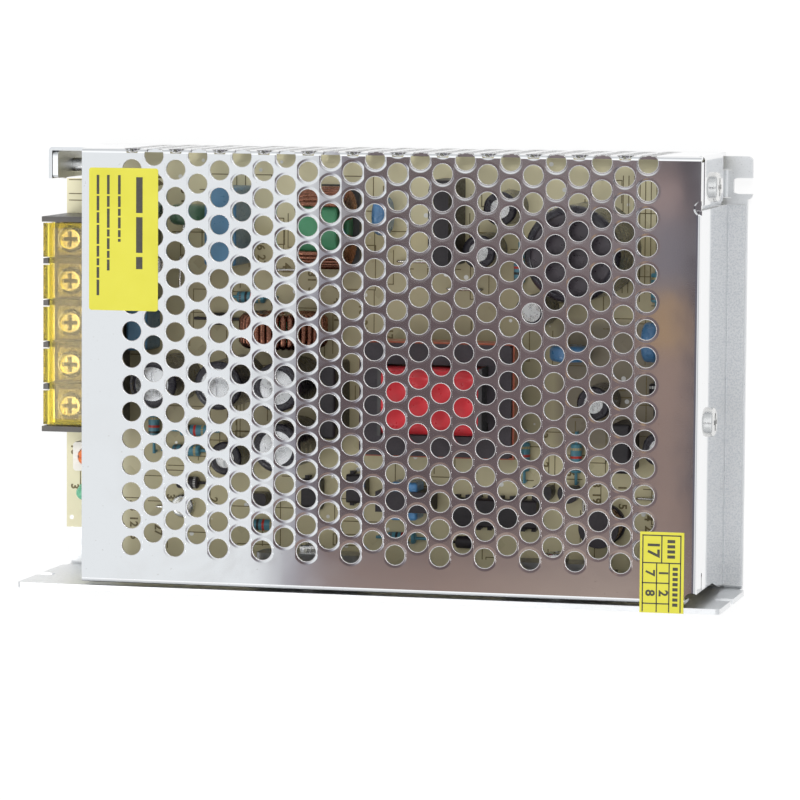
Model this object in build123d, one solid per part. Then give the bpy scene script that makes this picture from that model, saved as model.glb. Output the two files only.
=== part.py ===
from build123d import *
import os
from math import cos, pi, radians, sin

# Open-frame power supply in a folded two-part case, in millimetres.
# +X runs away from the terminals, +Y to the perforated side wall, and Z = 0 is the underside.

# Case
case_length = 160.0
case_width = 99.0
case_height = 38.0
half_length = case_length / 2
half_width = case_width / 2
overrun = 0.5
seat_gap = 0.15

# Chassis: one aluminium sheet with a base, a side wall, two ears and three upright tabs
chassis_sheet = 1.2
chassis_bend = 2.0
base_setback = 1.1
base_half = half_length - base_setback
ear_width = 9.6
ear_corner = 1.2
slot_width = 3.6
slot_depth = 4.9
slot_inset = 6.6
wall_slot_width = 4.0
wall_slot_depth = 3.8
wall_slot_drop = 16.0
wall_slot_height = case_height - wall_slot_drop
wall_lift = 4.5
tab_top_gap = 4.5
tab_height = case_height - tab_top_gap
corner_tab_width = 6.0
end_tab_width = 9.0
left_tab_setback = 7.05
mount_hole = 3.0
mount_spacing_x = 120.0
mount_spacing_y = 50.0

# Cover: one thin steel sheet with a top, a perforated side, an end wall, a foot and a lip
cover_sheet = 0.8
cover_bend = 1.0
cover_left_setback = 15.3
cover_right_setback = 5.3
lip_gap = 0.65
lip_drop = 6.0
foot_reach = 3.8
cover_left = cover_left_setback - half_length
cover_right = half_length - cover_right_setback
cover_front = chassis_sheet + lip_gap - half_width
hole_diameter = 4.5
hole_pitch = 6.0
column_spacing = 5.05
column_margin = 11.0
column_count = int((cover_right - cover_left - 2 * column_margin) / column_spacing) + 1
front_margin = 8.6
side_margin = 9.5
end_wall_front_gap = 2.3
foot_front_gap = 0.25
foot_flare_low = 8.0
foot_flare_high = 17.0
end_wall_inset = 11.7
end_wall_back = half_width - end_wall_inset
flange_drop = 4.5
flange_height = 24.0
flange_reach = 10.7
left_flange_reach = 7.1
cover_lift = 0.4
left_strip_drop = 3.0
left_strip_top = case_height - left_strip_drop
corner_relief = 1.6
slit_drop = 7.0
slit_length = 3.5
slit_width = 0.5

# Cover screws, pan headed, one at each fastened fold
cover_screw = 3.0
cover_screw_head = 6.5
cover_screw_head_height = 1.3
cover_screw_length = 4.5
corner_tab_inset = 7.1
left_tab_inset = 4.0
left_screw_inset = 4.3
end_screw_drop = 14.6
corner_screw_y = half_width - corner_tab_inset
corner_screw_height = case_height - flange_drop - flange_height / 2
left_tab_y = half_width - left_tab_inset
left_screw_y = half_width - left_screw_inset
end_screw_y = -9.0
end_screw_height = case_height - end_screw_drop

# Circuit board
board_thickness = 1.6
board_lift = 5.2
board_left_gap = 2.1
board_right_gap = 9.5
board_side_gap = 3.5
board_left = board_left_gap - half_length
board_right = half_length - board_right_gap
board_half_width = half_width - board_side_gap
board_bottom = chassis_sheet + board_lift
board_top = board_bottom + board_thickness
board_length = board_right - board_left
board_centre_x = (board_right + board_left) / 2
front_notch_length = 12.0
front_notch_depth = 7.0
back_notch_length = 8.0
back_notch_depth = 4.5
board_screw = 3.0
board_screw_head = 5.5
board_screw_head_height = 1.9
standoff_across = 5.5
screw_clearance = 0.2
standoff_place_shares = ((-0.62, -0.72), (0.9, -0.72), (0.9, 0.72), (-0.84, 0.8))


def block(x_range, y_range, z_range):
    corner = Pos(x_range[0], y_range[0], z_range[0])
    size = [high - low for low, high in (x_range, y_range, z_range)]
    return corner * Box(*size, align=(Align.MIN, Align.MIN, Align.MIN))


def standing_block(length, width, height):
    return Box(length, width, height, align=(Align.CENTER, Align.CENTER, Align.MIN))


def rod(diameter, height):
    return Cylinder(diameter / 2, height, align=(Align.CENTER, Align.CENTER, Align.MIN))


def rod_along_x(diameter, x_range, y, z):
    return Pos(x_range[0], y, z) * Rot(0, 90, 0) * rod(diameter, x_range[1] - x_range[0])


def rod_along_y(diameter, y_range, x, z):
    return Pos(x, y_range[0], z) * Rot(-90, 0, 0) * rod(diameter, y_range[1] - y_range[0])


def board_place(place_share):
    x = board_centre_x + place_share[0] * board_length / 2
    y = place_share[1] * board_half_width
    return x, y


def on_board(place_share, shape):
    x, y = board_place(place_share)
    return Pos(x, y, board_top) * shape


def by_block(x, y_share, shape):
    # For parts that keep their distance from the terminal block
    return Pos(x, y_share * board_half_width, board_top) * shape


def folded_sheet(points, sheet, outer_bend, plane, width):
    # A strip whose centre line passes near the points, with a round fold at each inner point
    centre_line = FilletPolyline(*points, radius=outer_bend - sheet / 2)
    return extrude(plane * trace(centre_line, sheet), width)


def pan_screw(head, head_height, shank, length):
    # Head above Z = 0, shank below it
    dome = fillet(rod(head, head_height).edges().group_by(Axis.Z)[-1], head_height / 2)
    cross = standing_block(head * recess_share, head * recess_width_share, head_height)
    recess = Pos(0, 0, head_height / 2) * (cross + Rot(0, 0, 90) * cross)
    stem = Pos(0, 0, -length) * rod(shank, length)
    return dome - recess + stem


recess_share = 0.6
recess_width_share = 0.16

# Upright tabs of the chassis: end of the case, face, middle in Y, width, screw place and height
right_tab_face = cover_right - cover_sheet - seat_gap
left_tab_face = left_tab_setback - half_length
left_flange_face = left_tab_face - seat_gap - cover_sheet
chassis_tabs = (
    (1, right_tab_face, corner_screw_y, corner_tab_width, corner_screw_y, corner_screw_height),
    (1, right_tab_face, end_screw_y, end_tab_width, end_screw_y, end_screw_height),
    (-1, -left_tab_face, left_tab_y, corner_tab_width, left_screw_y, corner_screw_height),
)


def chassis_tab(side, face, middle, width):
    # The tab is cut from the plate inboard of its fold and turned up about it
    centre_line_x = face - chassis_sheet / 2
    points = (
        (face + chassis_bend, chassis_sheet / 2),
        (centre_line_x, chassis_sheet / 2),
        (centre_line_x, tab_height),
    )
    strip = folded_sheet(points, chassis_sheet, chassis_bend, Plane.XZ, width)
    corners = strip.edges().filter_by(Axis.X).group_by(Axis.Z)[-1]
    strip = Pos(0, width / 2, 0) * fillet(corners, ear_corner)
    if side < 0:
        strip = mirror(strip, Plane.YZ)
    return Pos(0, middle, 0) * strip


def chassis_window(side, face, middle, width):
    near = face + chassis_bend - chassis_sheet / 2
    far = near - tab_height
    x_range = sorted((side * near, side * far))
    y_range = (middle - width / 2 - seat_gap, middle + width / 2 + seat_gap)
    return block(x_range, y_range, (-overrun, chassis_sheet + overrun))


def base_chassis():
    back = half_width - cover_sheet - seat_gap
    profile = (
        (back, chassis_sheet / 2),
        (chassis_sheet / 2 - half_width, chassis_sheet / 2),
        (chassis_sheet / 2 - half_width, case_height),
    )
    body = folded_sheet(profile, chassis_sheet, chassis_bend, Plane.YZ, 2 * base_half)
    body = Pos(-base_half, 0, 0) * body
    wall_range = (-half_width, chassis_sheet - half_width)
    wall = block((-half_length, half_length), wall_range, (wall_lift, case_height))
    wall = fillet(wall.edges().filter_by(Axis.Y), ear_corner)
    body += wall
    for side in (-1, 1):
        ear_y = (back - ear_width, back)
        ear = block(sorted((side * (base_half - overrun), side * half_length)), ear_y, (0, chassis_sheet))
        corners = ear.edges().filter_by(Axis.Z).sort_by(lambda edge: -side * edge.center().X)
        body += fillet(corners[:2], ear_corner)
        slot_y = back - slot_inset
        slot_end = side * (half_length - slot_depth + slot_width / 2)
        slot = Pos(slot_end, slot_y, -overrun) * rod(slot_width, chassis_sheet + 2 * overrun)
        mouth = sorted((slot_end, side * (half_length + overrun)))
        mouth_y = (slot_y - slot_width / 2, slot_y + slot_width / 2)
        slot += block(mouth, mouth_y, (-overrun, chassis_sheet + overrun))
        body -= slot
        wall_end = side * (half_length - wall_slot_depth + wall_slot_width / 2)
        wall_y = (-half_width - overrun, chassis_sheet - half_width + overrun)
        wall_slot = rod_along_y(wall_slot_width, wall_y, wall_end, wall_slot_height)
        mouth = sorted((wall_end, side * (half_length + overrun)))
        low = wall_slot_height - wall_slot_width / 2
        wall_slot += block(mouth, wall_y, (low, low + wall_slot_width))
        body -= wall_slot
    for side, face, middle, width, screw_y, screw_height in chassis_tabs:
        body -= chassis_window(side, face, middle, width)
    for side, face, middle, width, screw_y, screw_height in chassis_tabs:
        body += chassis_tab(side, face, middle, width)
        hole_x = sorted((side * (face + overrun), side * (face - chassis_sheet - overrun)))
        body -= rod_along_x(cover_screw + screw_clearance, hole_x, screw_y, screw_height)
    for x in (-mount_spacing_x / 2, mount_spacing_x / 2):
        for y in (-mount_spacing_y / 2, mount_spacing_y / 2):
            body -= Pos(x, y, -overrun) * rod(mount_hole, chassis_sheet + 2 * overrun)
    for x in clamp_screw_places():
        y_range = (-half_width - overrun, chassis_sheet - half_width + overrun)
        body -= rod_along_y(clamp_screw + screw_clearance, y_range, x, clamp_screw_height)
    return body


def hole_columns():
    middle = (cover_left + cover_right) / 2
    first = middle - (column_count - 1) / 2 * column_spacing
    return [first + number * column_spacing for number in range(column_count)]


def hole_rows(column, limit):
    # Distance over the flat sheet; every second column is half a pitch further back
    rows = []
    row = cover_front + front_margin + (column % 2) * hole_pitch / 2
    while row < limit:
        rows.append(row)
        row += hole_pitch
    return rows


def side_height(row):
    # Height on the side wall of a flat-sheet distance, with the length that the fold saves
    return case_height - (row - half_width) - (2 - pi / 2) * cover_bend


def perforated_plate(points, centres, plane, thickness):
    outline = Wire.make_polygon(points, close=True)
    holes = [Wire.make_circle(hole_diameter / 2, Plane((x, y, 0))) for x, y in centres]
    return extrude(plane * Face(outline, holes), thickness)


def cover_top():
    fold_back = half_width - cover_bend
    fold_right = cover_right - cover_bend
    step = end_wall_back + cover_bend
    points = (
        (cover_left, cover_front + cover_bend),
        (fold_right, cover_front + cover_bend),
        (fold_right, step),
        (cover_right, step),
        (cover_right, fold_back),
        (cover_left, fold_back),
    )
    centres = []
    for column, x in enumerate(hole_columns()):
        whole = [row for row in hole_rows(column, half_width) if row + hole_diameter / 2 < fold_back]
        centres += [(x, row) for row in whole]
    plane = Plane((0, 0, case_height - cover_sheet))
    return perforated_plate(points, centres, plane, cover_sheet)


def cover_side():
    left = left_flange_face + cover_bend
    right = cover_right - cover_bend
    fold_top = case_height - cover_bend
    points = (
        (left, cover_lift),
        (right, cover_lift),
        (right, fold_top),
        (cover_left, fold_top),
        (cover_left, left_strip_top),
        (left, left_strip_top),
    )
    centres = []
    for column, x in enumerate(hole_columns()):
        for row in hole_rows(column, half_width + case_height - side_margin):
            height = side_height(row)
            if height + hole_diameter / 2 < fold_top and row > half_width:
                centres.append((x, height))
    plane = Plane(origin=(0, half_width, 0), x_dir=(1, 0, 0), z_dir=(0, -1, 0))
    plate = perforated_plate(points, centres, plane, cover_sheet)
    profile = (
        (half_width - 2 * cover_bend, case_height - cover_sheet / 2),
        (half_width - cover_sheet / 2, case_height - cover_sheet / 2),
        (half_width - cover_sheet / 2, fold_top - cover_bend),
    )
    fold = folded_sheet(profile, cover_sheet, cover_bend, Plane.YZ, cover_right - cover_left)
    return plate + Pos(cover_left, 0, 0) * fold


def cover_edge_cuts():
    # Holes that the long fold runs through: over it on odd columns, under it on even ones
    cuts = []
    for column, x in enumerate(hole_columns()):
        for row in hole_rows(column, half_width + hole_pitch / 2):
            if row + hole_diameter / 2 <= half_width - cover_bend:
                continue
            if row < half_width:
                depth = cover_bend + overrun
                cuts.append(Pos(x, row, case_height - cover_bend) * rod(hole_diameter, depth))
            else:
                y_range = (half_width - cover_bend, half_width + overrun)
                cuts.append(rod_along_y(hole_diameter, y_range, x, side_height(row)))
    return cuts


def cover_end():
    wall_x = cover_right - cover_sheet / 2
    foot_z = chassis_sheet + cover_sheet / 2
    points = (
        (cover_right - 2 * cover_bend, case_height - cover_sheet / 2),
        (wall_x, case_height - cover_sheet / 2),
        (wall_x, foot_z),
        (cover_right + foot_reach, foot_z),
    )
    foot_front = cover_front + foot_front_gap
    front = cover_front + end_wall_front_gap
    width = end_wall_back - foot_front
    strip = Pos(0, end_wall_back, 0) * folded_sheet(points, cover_sheet, cover_bend, Plane.XZ, width)
    x_range = (cover_right - cover_sheet - overrun, cover_right + overrun)
    # The wall steps back above the foot, so that it clears the chassis while the cover is put on
    step = (
        (foot_front - overrun, foot_flare_low),
        (foot_front, foot_flare_low),
        (front, foot_flare_high),
        (front, case_height + overrun),
        (foot_front - overrun, case_height + overrun),
    )
    step_x = cover_right - 2 * cover_bend - overrun
    step_face = Plane.YZ * Face(Wire.make_polygon([(y, z, 0) for y, z in step], close=True))
    strip -= Pos(step_x, 0, 0) * extrude(step_face, 2 * cover_bend + 2 * overrun)
    slit_z = case_height - slit_drop
    slit = block(x_range, (front - overrun, front + slit_length), (slit_z, slit_z + slit_width))
    slit += rod_along_x(2 * slit_width, x_range, front + slit_length, slit_z + slit_width / 2)
    hole = rod_along_x(cover_screw + screw_clearance, x_range, end_screw_y, end_screw_height)
    return strip - slit - hole


def cover_flanges():
    # The side wall turns in at both ends, and each flange lies on the outside of a chassis tab
    low = case_height - flange_drop - flange_height
    right_x = cover_right - cover_sheet / 2
    left_x = left_flange_face + cover_sheet / 2
    wall_y = half_width - cover_sheet / 2
    right_points = (
        (cover_right - 2 * cover_bend, wall_y),
        (right_x, wall_y),
        (right_x, half_width - flange_reach),
    )
    left_points = (
        (left_flange_face + 2 * cover_bend, wall_y),
        (left_x, wall_y),
        (left_x, half_width - left_flange_reach),
    )
    flanges = Pos(0, 0, low) * folded_sheet(right_points, cover_sheet, cover_bend, Plane.XY, flange_height)
    flanges += Pos(0, 0, low) * folded_sheet(left_points, cover_sheet, cover_bend, Plane.XY, flange_height)
    right_hole = (cover_right - cover_sheet - overrun, cover_right + overrun)
    left_hole = (left_flange_face - overrun, left_flange_face + cover_sheet + overrun)
    flanges -= rod_along_x(cover_screw + screw_clearance, right_hole, corner_screw_y, corner_screw_height)
    flanges -= rod_along_x(cover_screw + screw_clearance, left_hole, left_screw_y, corner_screw_height)
    return flanges


def cover_lip():
    lip_y = cover_front + cover_sheet / 2
    points = (
        (cover_front + 2 * cover_bend, case_height - cover_sheet / 2),
        (lip_y, case_height - cover_sheet / 2),
        (lip_y, case_height - lip_drop),
    )
    length = cover_right - cover_bend - corner_relief - cover_left
    return Pos(cover_left, 0, 0) * folded_sheet(points, cover_sheet, cover_bend, Plane.YZ, length)


def mesh_cover():
    cover = cover_top() + cover_side() + cover_end() + cover_flanges() + cover_lip()
    cover -= cover_edge_cuts()
    relief = Pos(0, 0, case_height - cover_bend - overrun) * rod(2 * corner_relief, cover_bend + 2 * overrun)
    cover -= Pos(cover_right - cover_bend, cover_front + cover_bend, 0) * relief
    cover -= Pos(cover_right, end_wall_back + cover_bend / 2, 0) * relief
    return cover


def cover_screws():
    screw = pan_screw(cover_screw_head, cover_screw_head_height, cover_screw, cover_screw_length)
    right = Rot(0, 90, 0) * screw
    left = Rot(0, -90, 0) * screw
    return Compound([
        Pos(cover_right, corner_screw_y, corner_screw_height) * right,
        Pos(cover_right, end_screw_y, end_screw_height) * right,
        Pos(left_flange_face, left_screw_y, corner_screw_height) * left,
    ])


# Clamp bars press the power devices on the side wall
clamp_screw = 3.0
clamp_screw_head = 5.5
clamp_screw_head_height = 2.0
clamp_length = 23.6
clamp_thickness = 2.6
clamp_bar_height = 8.0
clamp_centre_shares = (-0.16, 0.6)
device_width = 10.0
device_depth = 4.4
device_lift = 4.0
device_top_gap = 4.5
device_height = case_height - lip_drop - device_top_gap - board_top - device_lift
device_spacing = 13.4
pad_thickness = 0.3
lead_width = 0.8
lead_thickness = 0.5
lead_pitch = 2.54
clamp_height_share = 0.71
clamp_screw_height = board_top + device_lift + device_height * clamp_height_share
device_tab_share = 0.3
device_body_share = 0.62
wall_face = chassis_sheet - half_width


def clamp_screw_places():
    return [board_place((share, 0))[0] for share in clamp_centre_shares]


def device_places():
    return [x + side * device_spacing / 2 for x in clamp_screw_places() for side in (-1, 1)]


def power_device():
    # Moulded body on a metal tab that lies against the wall, with three legs
    tab_thickness = device_depth * device_tab_share
    body_height = device_height * device_body_share
    body = standing_block(device_width, device_depth - tab_thickness, body_height)
    body = chamfer(body.edges().filter_by(Axis.X).sort_by(Axis.Y)[-2:], tab_thickness / 2)
    body = Pos(0, tab_thickness / 2, 0) * body
    tab = standing_block(device_width, tab_thickness, device_height)
    return body + Pos(0, (tab_thickness - device_depth) / 2, 0) * tab


def device_legs():
    legs = []
    for number in (-1, 0, 1):
        leg = standing_block(lead_width, lead_thickness, device_lift)
        legs.append(Pos(number * lead_pitch, 0, -device_lift) * leg)
    return legs


def placed_devices(places):
    middle_y = wall_face + pad_thickness + device_depth / 2
    devices = []
    for x in places:
        device = power_device()
        for leg in device_legs():
            device += leg
        devices.append(Pos(x, middle_y, board_top + device_lift) * device)
    return Compound(devices)


def output_rectifiers():
    return placed_devices(device_places()[:2])


def switching_transistors():
    return placed_devices(device_places()[2:])


def insulator_pads():
    # One soft pad behind each pair of devices, pierced for the clamp screw
    pads = []
    low = board_top + device_lift
    for x in clamp_screw_places():
        x_range = (x - clamp_length / 2, x + clamp_length / 2)
        y_range = (wall_face, wall_face + pad_thickness)
        pad = block(x_range, y_range, (low - device_lift / 2, low + device_height + device_lift / 4))
        hole = (wall_face - overrun, wall_face + pad_thickness + overrun)
        pads.append(pad - rod_along_y(clamp_screw + screw_clearance, hole, x, clamp_screw_height))
    return Compound(pads)


def clamp_bars():
    bars = []
    front = wall_face + pad_thickness + device_depth
    for x in clamp_screw_places():
        half = clamp_bar_height / 2
        z_range = (clamp_screw_height - half, clamp_screw_height + half)
        bar = block((x - clamp_length / 2, x + clamp_length / 2), (front, front + clamp_thickness), z_range)
        bar = fillet(bar.edges().filter_by(Axis.Y), clamp_thickness / 2)
        hole = (front - overrun, front + clamp_thickness + overrun)
        bars.append(bar - rod_along_y(clamp_screw + screw_clearance, hole, x, clamp_screw_height))
    return Compound(bars)


def clamp_screws():
    front = wall_face + pad_thickness + device_depth + clamp_thickness
    length = front + half_width - seat_gap
    screw = pan_screw(clamp_screw_head, clamp_screw_head_height, clamp_screw, length)
    screw = Rot(-90, 0, 0) * screw
    return Compound([Pos(x, front, clamp_screw_height) * screw for x in clamp_screw_places()])


# Terminal block: five screw terminals between upright barriers
terminal_pitch = 9.5
terminal_side_room = 40.0
terminal_count = int((2 * board_half_width - terminal_side_room) / terminal_pitch)
barrier = 1.2
block_place_share = 0.2
block_centre_y = board_half_width * block_place_share
block_setback = 2.3
block_front = block_setback - half_length
block_depth = 15.0
platform_lift = 9.2
barrier_height = 7.2
end_wall_rise = 2.6
rear_wall = 2.1
plate_thickness = 0.8
plate_length = 9.6
plate_width = 7.6
plate_setback = 1.3
plate_leg_width = 3.0
washer_side = 7.0
washer_thickness = 0.9
terminal_screw = 3.4
terminal_screw_head = 6.2
terminal_screw_head_height = 2.2
terminal_screw_setback = 4.8
terminal_screw_length = 7.0
pin_reach = 1.4
block_half = (terminal_count * terminal_pitch + barrier) / 2
block_back = block_front + block_depth
platform_top = board_top + platform_lift
barrier_top = platform_top + barrier_height
terminal_screw_x = block_front + terminal_screw_setback
plate_leg_x = block_front + plate_setback + plate_length

# Lid of the terminal block: a clear plate on two pins
lid_thickness = 1.2
lid_gap = 0.3
lid_barrel = 1.8
lid_pin = 1.4
lid_pin_length = 0.7
lid_skirt_thickness = 1.2
lid_skirt_drop = 3.6
lid_panel_depth = 0.4
lid_panel_margin = 2.4
lid_axis_x = block_back - rear_wall - lid_gap - lid_barrel / 2
lid_axis_z = barrier_top + lid_gap + lid_barrel / 2


def terminal_places():
    middle = (terminal_count - 1) / 2
    return [block_centre_y + (number - middle) * terminal_pitch for number in range(terminal_count)]


def terminal_block_body():
    y_range = (block_centre_y - block_half, block_centre_y + block_half)
    body = block((block_front, block_back), y_range, (board_top, platform_top))
    body += block((block_back - rear_wall, block_back), y_range, (board_top, barrier_top + end_wall_rise))
    for number in range(terminal_count + 1):
        low = y_range[0] + number * terminal_pitch
        outer = number in (0, terminal_count)
        top = barrier_top + end_wall_rise if outer else barrier_top
        body += block((block_front, block_back), (low, low + barrier), (platform_top, top))
        if not outer:
            nose = (block_front, block_front + lid_skirt_thickness)
            body += block(nose, (low, low + barrier), (platform_top, barrier_top + lid_gap + lid_thickness))
    for y in terminal_places():
        well = rod(terminal_screw + 2 * screw_clearance, 2 * terminal_screw_length)
        body -= Pos(terminal_screw_x, y, platform_top - terminal_screw_length) * well
        leg_y = plate_leg_width / 2 + seat_gap
        leg_x = (plate_leg_x - plate_thickness - seat_gap, plate_leg_x + seat_gap)
        body -= block(leg_x, (y - leg_y, y + leg_y), (board_top - overrun, platform_top + overrun))
    socket = (y_range[0] + barrier / 4, y_range[1] - barrier / 4)
    return body - rod_along_y(lid_pin + 2 * seat_gap, socket, lid_axis_x, lid_axis_z)


def terminal_plates():
    plates = []
    for y in terminal_places():
        plate_y = (y - plate_width / 2, y + plate_width / 2)
        plate_x = (block_front + plate_setback, plate_leg_x)
        plate = block(plate_x, plate_y, (platform_top, platform_top + plate_thickness))
        leg_y = (y - plate_leg_width / 2, y + plate_leg_width / 2)
        leg_x = (plate_leg_x - plate_thickness, plate_leg_x)
        plate += block(leg_x, leg_y, (board_bottom - pin_reach, platform_top + plate_thickness / 2))
        hole = rod(terminal_screw + screw_clearance, platform_top + board_top)
        plates.append(plate - Pos(terminal_screw_x, y, board_top) * hole)
    return Compound(plates)


def terminal_washers():
    washers = []
    low = platform_top + plate_thickness
    for y in terminal_places():
        washer = standing_block(washer_side, washer_side, washer_thickness)
        washer = chamfer(washer.edges().filter_by(Axis.Z), washer_thickness)
        hole = Pos(0, 0, -overrun) * rod(terminal_screw + screw_clearance, washer_thickness + 2 * overrun)
        washers.append(Pos(terminal_screw_x, y, low) * (washer - hole))
    return Compound(washers)


def terminal_screws():
    seat = platform_top + plate_thickness + washer_thickness
    screw = pan_screw(terminal_screw_head, terminal_screw_head_height, terminal_screw, terminal_screw_length)
    return Compound([Pos(terminal_screw_x, y, seat) * screw for y in terminal_places()])


def terminal_lid():
    low = barrier_top + lid_gap
    top = low + lid_thickness
    half = block_half - barrier - lid_gap
    y_range = (block_centre_y - half, block_centre_y + half)
    lid = block((block_front, lid_axis_x), y_range, (low, top))
    panel_x = (block_front + lid_panel_margin, lid_axis_x - lid_barrel / 2)
    panel_y = (y_range[0] + lid_panel_margin / 2, y_range[1] - lid_panel_margin / 2)
    lid -= block(panel_x, panel_y, (top - lid_panel_depth, top + overrun))
    skirt_x = (block_front, block_front + lid_skirt_thickness)
    lid += block(skirt_x, y_range, (low - lid_skirt_drop, low))
    for number in range(1, terminal_count):
        middle = block_centre_y - block_half + barrier / 2 + number * terminal_pitch
        notch = barrier / 2 + lid_gap
        notch_x = (block_front - overrun, block_front + lid_skirt_thickness + lid_gap)
        notch_z = (low - lid_skirt_drop - overrun, top + overrun)
        lid -= block(notch_x, (middle - notch, middle + notch), notch_z)
    lid += rod_along_y(lid_barrel, y_range, lid_axis_x, lid_axis_z)
    pin_range = (y_range[0] - lid_gap - lid_pin_length, y_range[1] + lid_gap + lid_pin_length)
    return lid + rod_along_y(lid_pin, pin_range, lid_axis_x, lid_axis_z)


# Circuit board and what holds it
sheet_thickness = 0.3
sheet_margin = 4.5
sheet_hole_gap = 0.5


def circuit_board():
    x_range = (board_left, board_right)
    board = block(x_range, (-board_half_width, board_half_width), (board_bottom, board_top))
    z_range = (board_bottom - overrun, board_top + overrun)
    front = block(
        (board_left - overrun, board_left + front_notch_length),
        (-board_half_width - overrun, front_notch_depth - board_half_width),
        z_range,
    )
    back = block(
        (board_left - overrun, board_left + back_notch_length),
        (board_half_width - back_notch_depth, board_half_width + overrun),
        z_range,
    )
    board = board - front - back
    for place in standoff_place_shares:
        x, y = board_place(place)
        board -= Pos(x, y, z_range[0]) * rod(board_screw + screw_clearance, board_thickness + 2 * overrun)
    for y in terminal_places():
        half = plate_leg_width / 2 + seat_gap
        leg_x = (plate_leg_x - plate_thickness - seat_gap, plate_leg_x + seat_gap)
        board -= block(leg_x, (y - half, y + half), z_range)
    return board


def insulation_sheet():
    x_range = (board_left + front_notch_length, board_right - sheet_margin)
    y_half = board_half_width - sheet_margin
    sheet = block(x_range, (-y_half, y_half), (chassis_sheet, chassis_sheet + sheet_thickness))
    for place in standoff_place_shares:
        x, y = board_place(place)
        hole = rod(standoff_across + 2 * sheet_hole_gap, sheet_thickness + 2 * overrun)
        sheet -= Pos(x, y, chassis_sheet - overrun) * hole
    return sheet


def board_standoffs():
    body = extrude(RegularPolygon(standoff_across / 2, 6, major_radius=False), board_lift)
    body -= Pos(0, 0, board_lift / 4) * rod(board_screw + screw_clearance, board_lift)
    places = [board_place(share) for share in standoff_place_shares]
    return Compound([Pos(x, y, chassis_sheet) * body for x, y in places])


def board_screws():
    length = board_thickness + board_lift / 2
    screw = pan_screw(board_screw_head, board_screw_head_height, board_screw, length)
    places = [board_place(share) for share in standoff_place_shares]
    return Compound([Pos(x, y, board_top) * screw for x, y in places])


# Trimmer and lamp beside the terminals
trimmer_inset = 6.4
trimmer_gap = 3.65
trimmer_side = 6.6
trimmer_height = 5.0
trimmer_bore = 4.4
trimmer_bore_depth = 1.0
rotor_diameter = 3.8
rotor_height = 1.6
rotor_slot = 0.7
rotor_cross_share = 0.6
rotor_gap = 0.05
lamp_inset = 5.4
lamp_gap = 3.0
lamp_diameter = 3.4
lamp_flange = 4.2
lamp_height = 4.8
lamp_lift = 1.2
trimmer_x = board_left + trimmer_inset
trimmer_y = block_centre_y - block_half - trimmer_gap - trimmer_side / 2
lamp_x = board_left + lamp_inset
lamp_y = trimmer_y - trimmer_side / 2 - lamp_gap - lamp_flange / 2


def trimmer_body():
    body = standing_block(trimmer_side, trimmer_side, trimmer_height)
    body = chamfer(body.edges().filter_by(Axis.Z), trimmer_bore_depth / 2)
    well = Pos(0, 0, trimmer_height - trimmer_bore_depth) * rod(trimmer_bore, trimmer_bore_depth + overrun)
    return Pos(trimmer_x, trimmer_y, board_top) * (body - well)


def trimmer_rotor():
    rotor = rod(rotor_diameter, rotor_height)
    slot = Pos(0, 0, rotor_height / 2) * standing_block(rotor_diameter + overrun, rotor_slot, rotor_height)
    cross = standing_block(rotor_slot, rotor_diameter * rotor_cross_share, rotor_height)
    pocket = Pos(0, 0, rotor_height / 2) * cross
    lift = trimmer_height - trimmer_bore_depth + rotor_gap
    return Pos(trimmer_x, trimmer_y, board_top + lift) * (rotor - slot - pocket)


def indicator_led():
    dome_height = lamp_height - lamp_diameter / 2
    lamp = rod(lamp_flange, lamp_lift) + rod(lamp_diameter, dome_height)
    lamp += Pos(0, 0, dome_height) * Sphere(lamp_diameter / 2)
    lamp = Pos(0, 0, lamp_lift) * lamp
    for side in (-1, 1):
        lead = standing_block(lead_thickness, lead_thickness, 2 * lamp_lift)
        lamp += Pos(side * lead_pitch / 2, 0, 0) * lead
    return Pos(lamp_x, lamp_y, board_top) * lamp


# Mains side: fuse, inrush limiter, suppression capacitor, choke and bridge
fuse_y_share = 0.63
fuse_gap = 3.86
fuse_diameter = 5.0
fuse_length = 20.0
fuse_cap_length = 5.0
fuse_cap_wall = 0.2
fuse_axis = 4.4
clip_thickness = 0.5
clip_width = 4.0
fuse_half = fuse_diameter / 2 + fuse_cap_wall + clip_thickness
fuse_x = block_back + fuse_gap + fuse_half


def fuse_tube():
    half = fuse_length / 2 - fuse_cap_wall
    return by_block(fuse_x, fuse_y_share, rod_along_y(fuse_diameter, (-half, half), 0, fuse_axis))


def fuse_caps():
    outer = fuse_diameter + 2 * fuse_cap_wall
    caps = []
    for side in (-1, 1):
        end = side * fuse_length / 2
        inner = end - side * fuse_cap_length
        cap = rod_along_y(outer, sorted((end, inner)), 0, fuse_axis)
        bore = sorted((end - side * fuse_cap_wall, inner - side * overrun))
        caps.append(cap - rod_along_y(fuse_diameter, bore, 0, fuse_axis))
    return by_block(fuse_x, fuse_y_share, Compound(caps))


def fuse_clips():
    # Each clip is a spring strip: a foot on the board and two arms that grip a cap
    grip = fuse_diameter + 2 * fuse_cap_wall
    clips = []
    for side in (-1, 1):
        middle = side * (fuse_length - fuse_cap_length) / 2
        y_range = (middle - clip_width / 2, middle + clip_width / 2)
        clip = rod_along_y(grip + 2 * clip_thickness, y_range, 0, fuse_axis)
        half = grip / 2 + clip_thickness
        clip -= block((-half, half), y_range, (fuse_axis + grip / 4, fuse_axis + half))
        clip += block((-grip / 4, grip / 4), y_range, (0, fuse_axis))
        cut = (y_range[0] - overrun, y_range[1] + overrun)
        clips.append(clip - rod_along_y(grip, cut, 0, fuse_axis))
    return by_block(fuse_x, fuse_y_share, Compound(clips))


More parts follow.
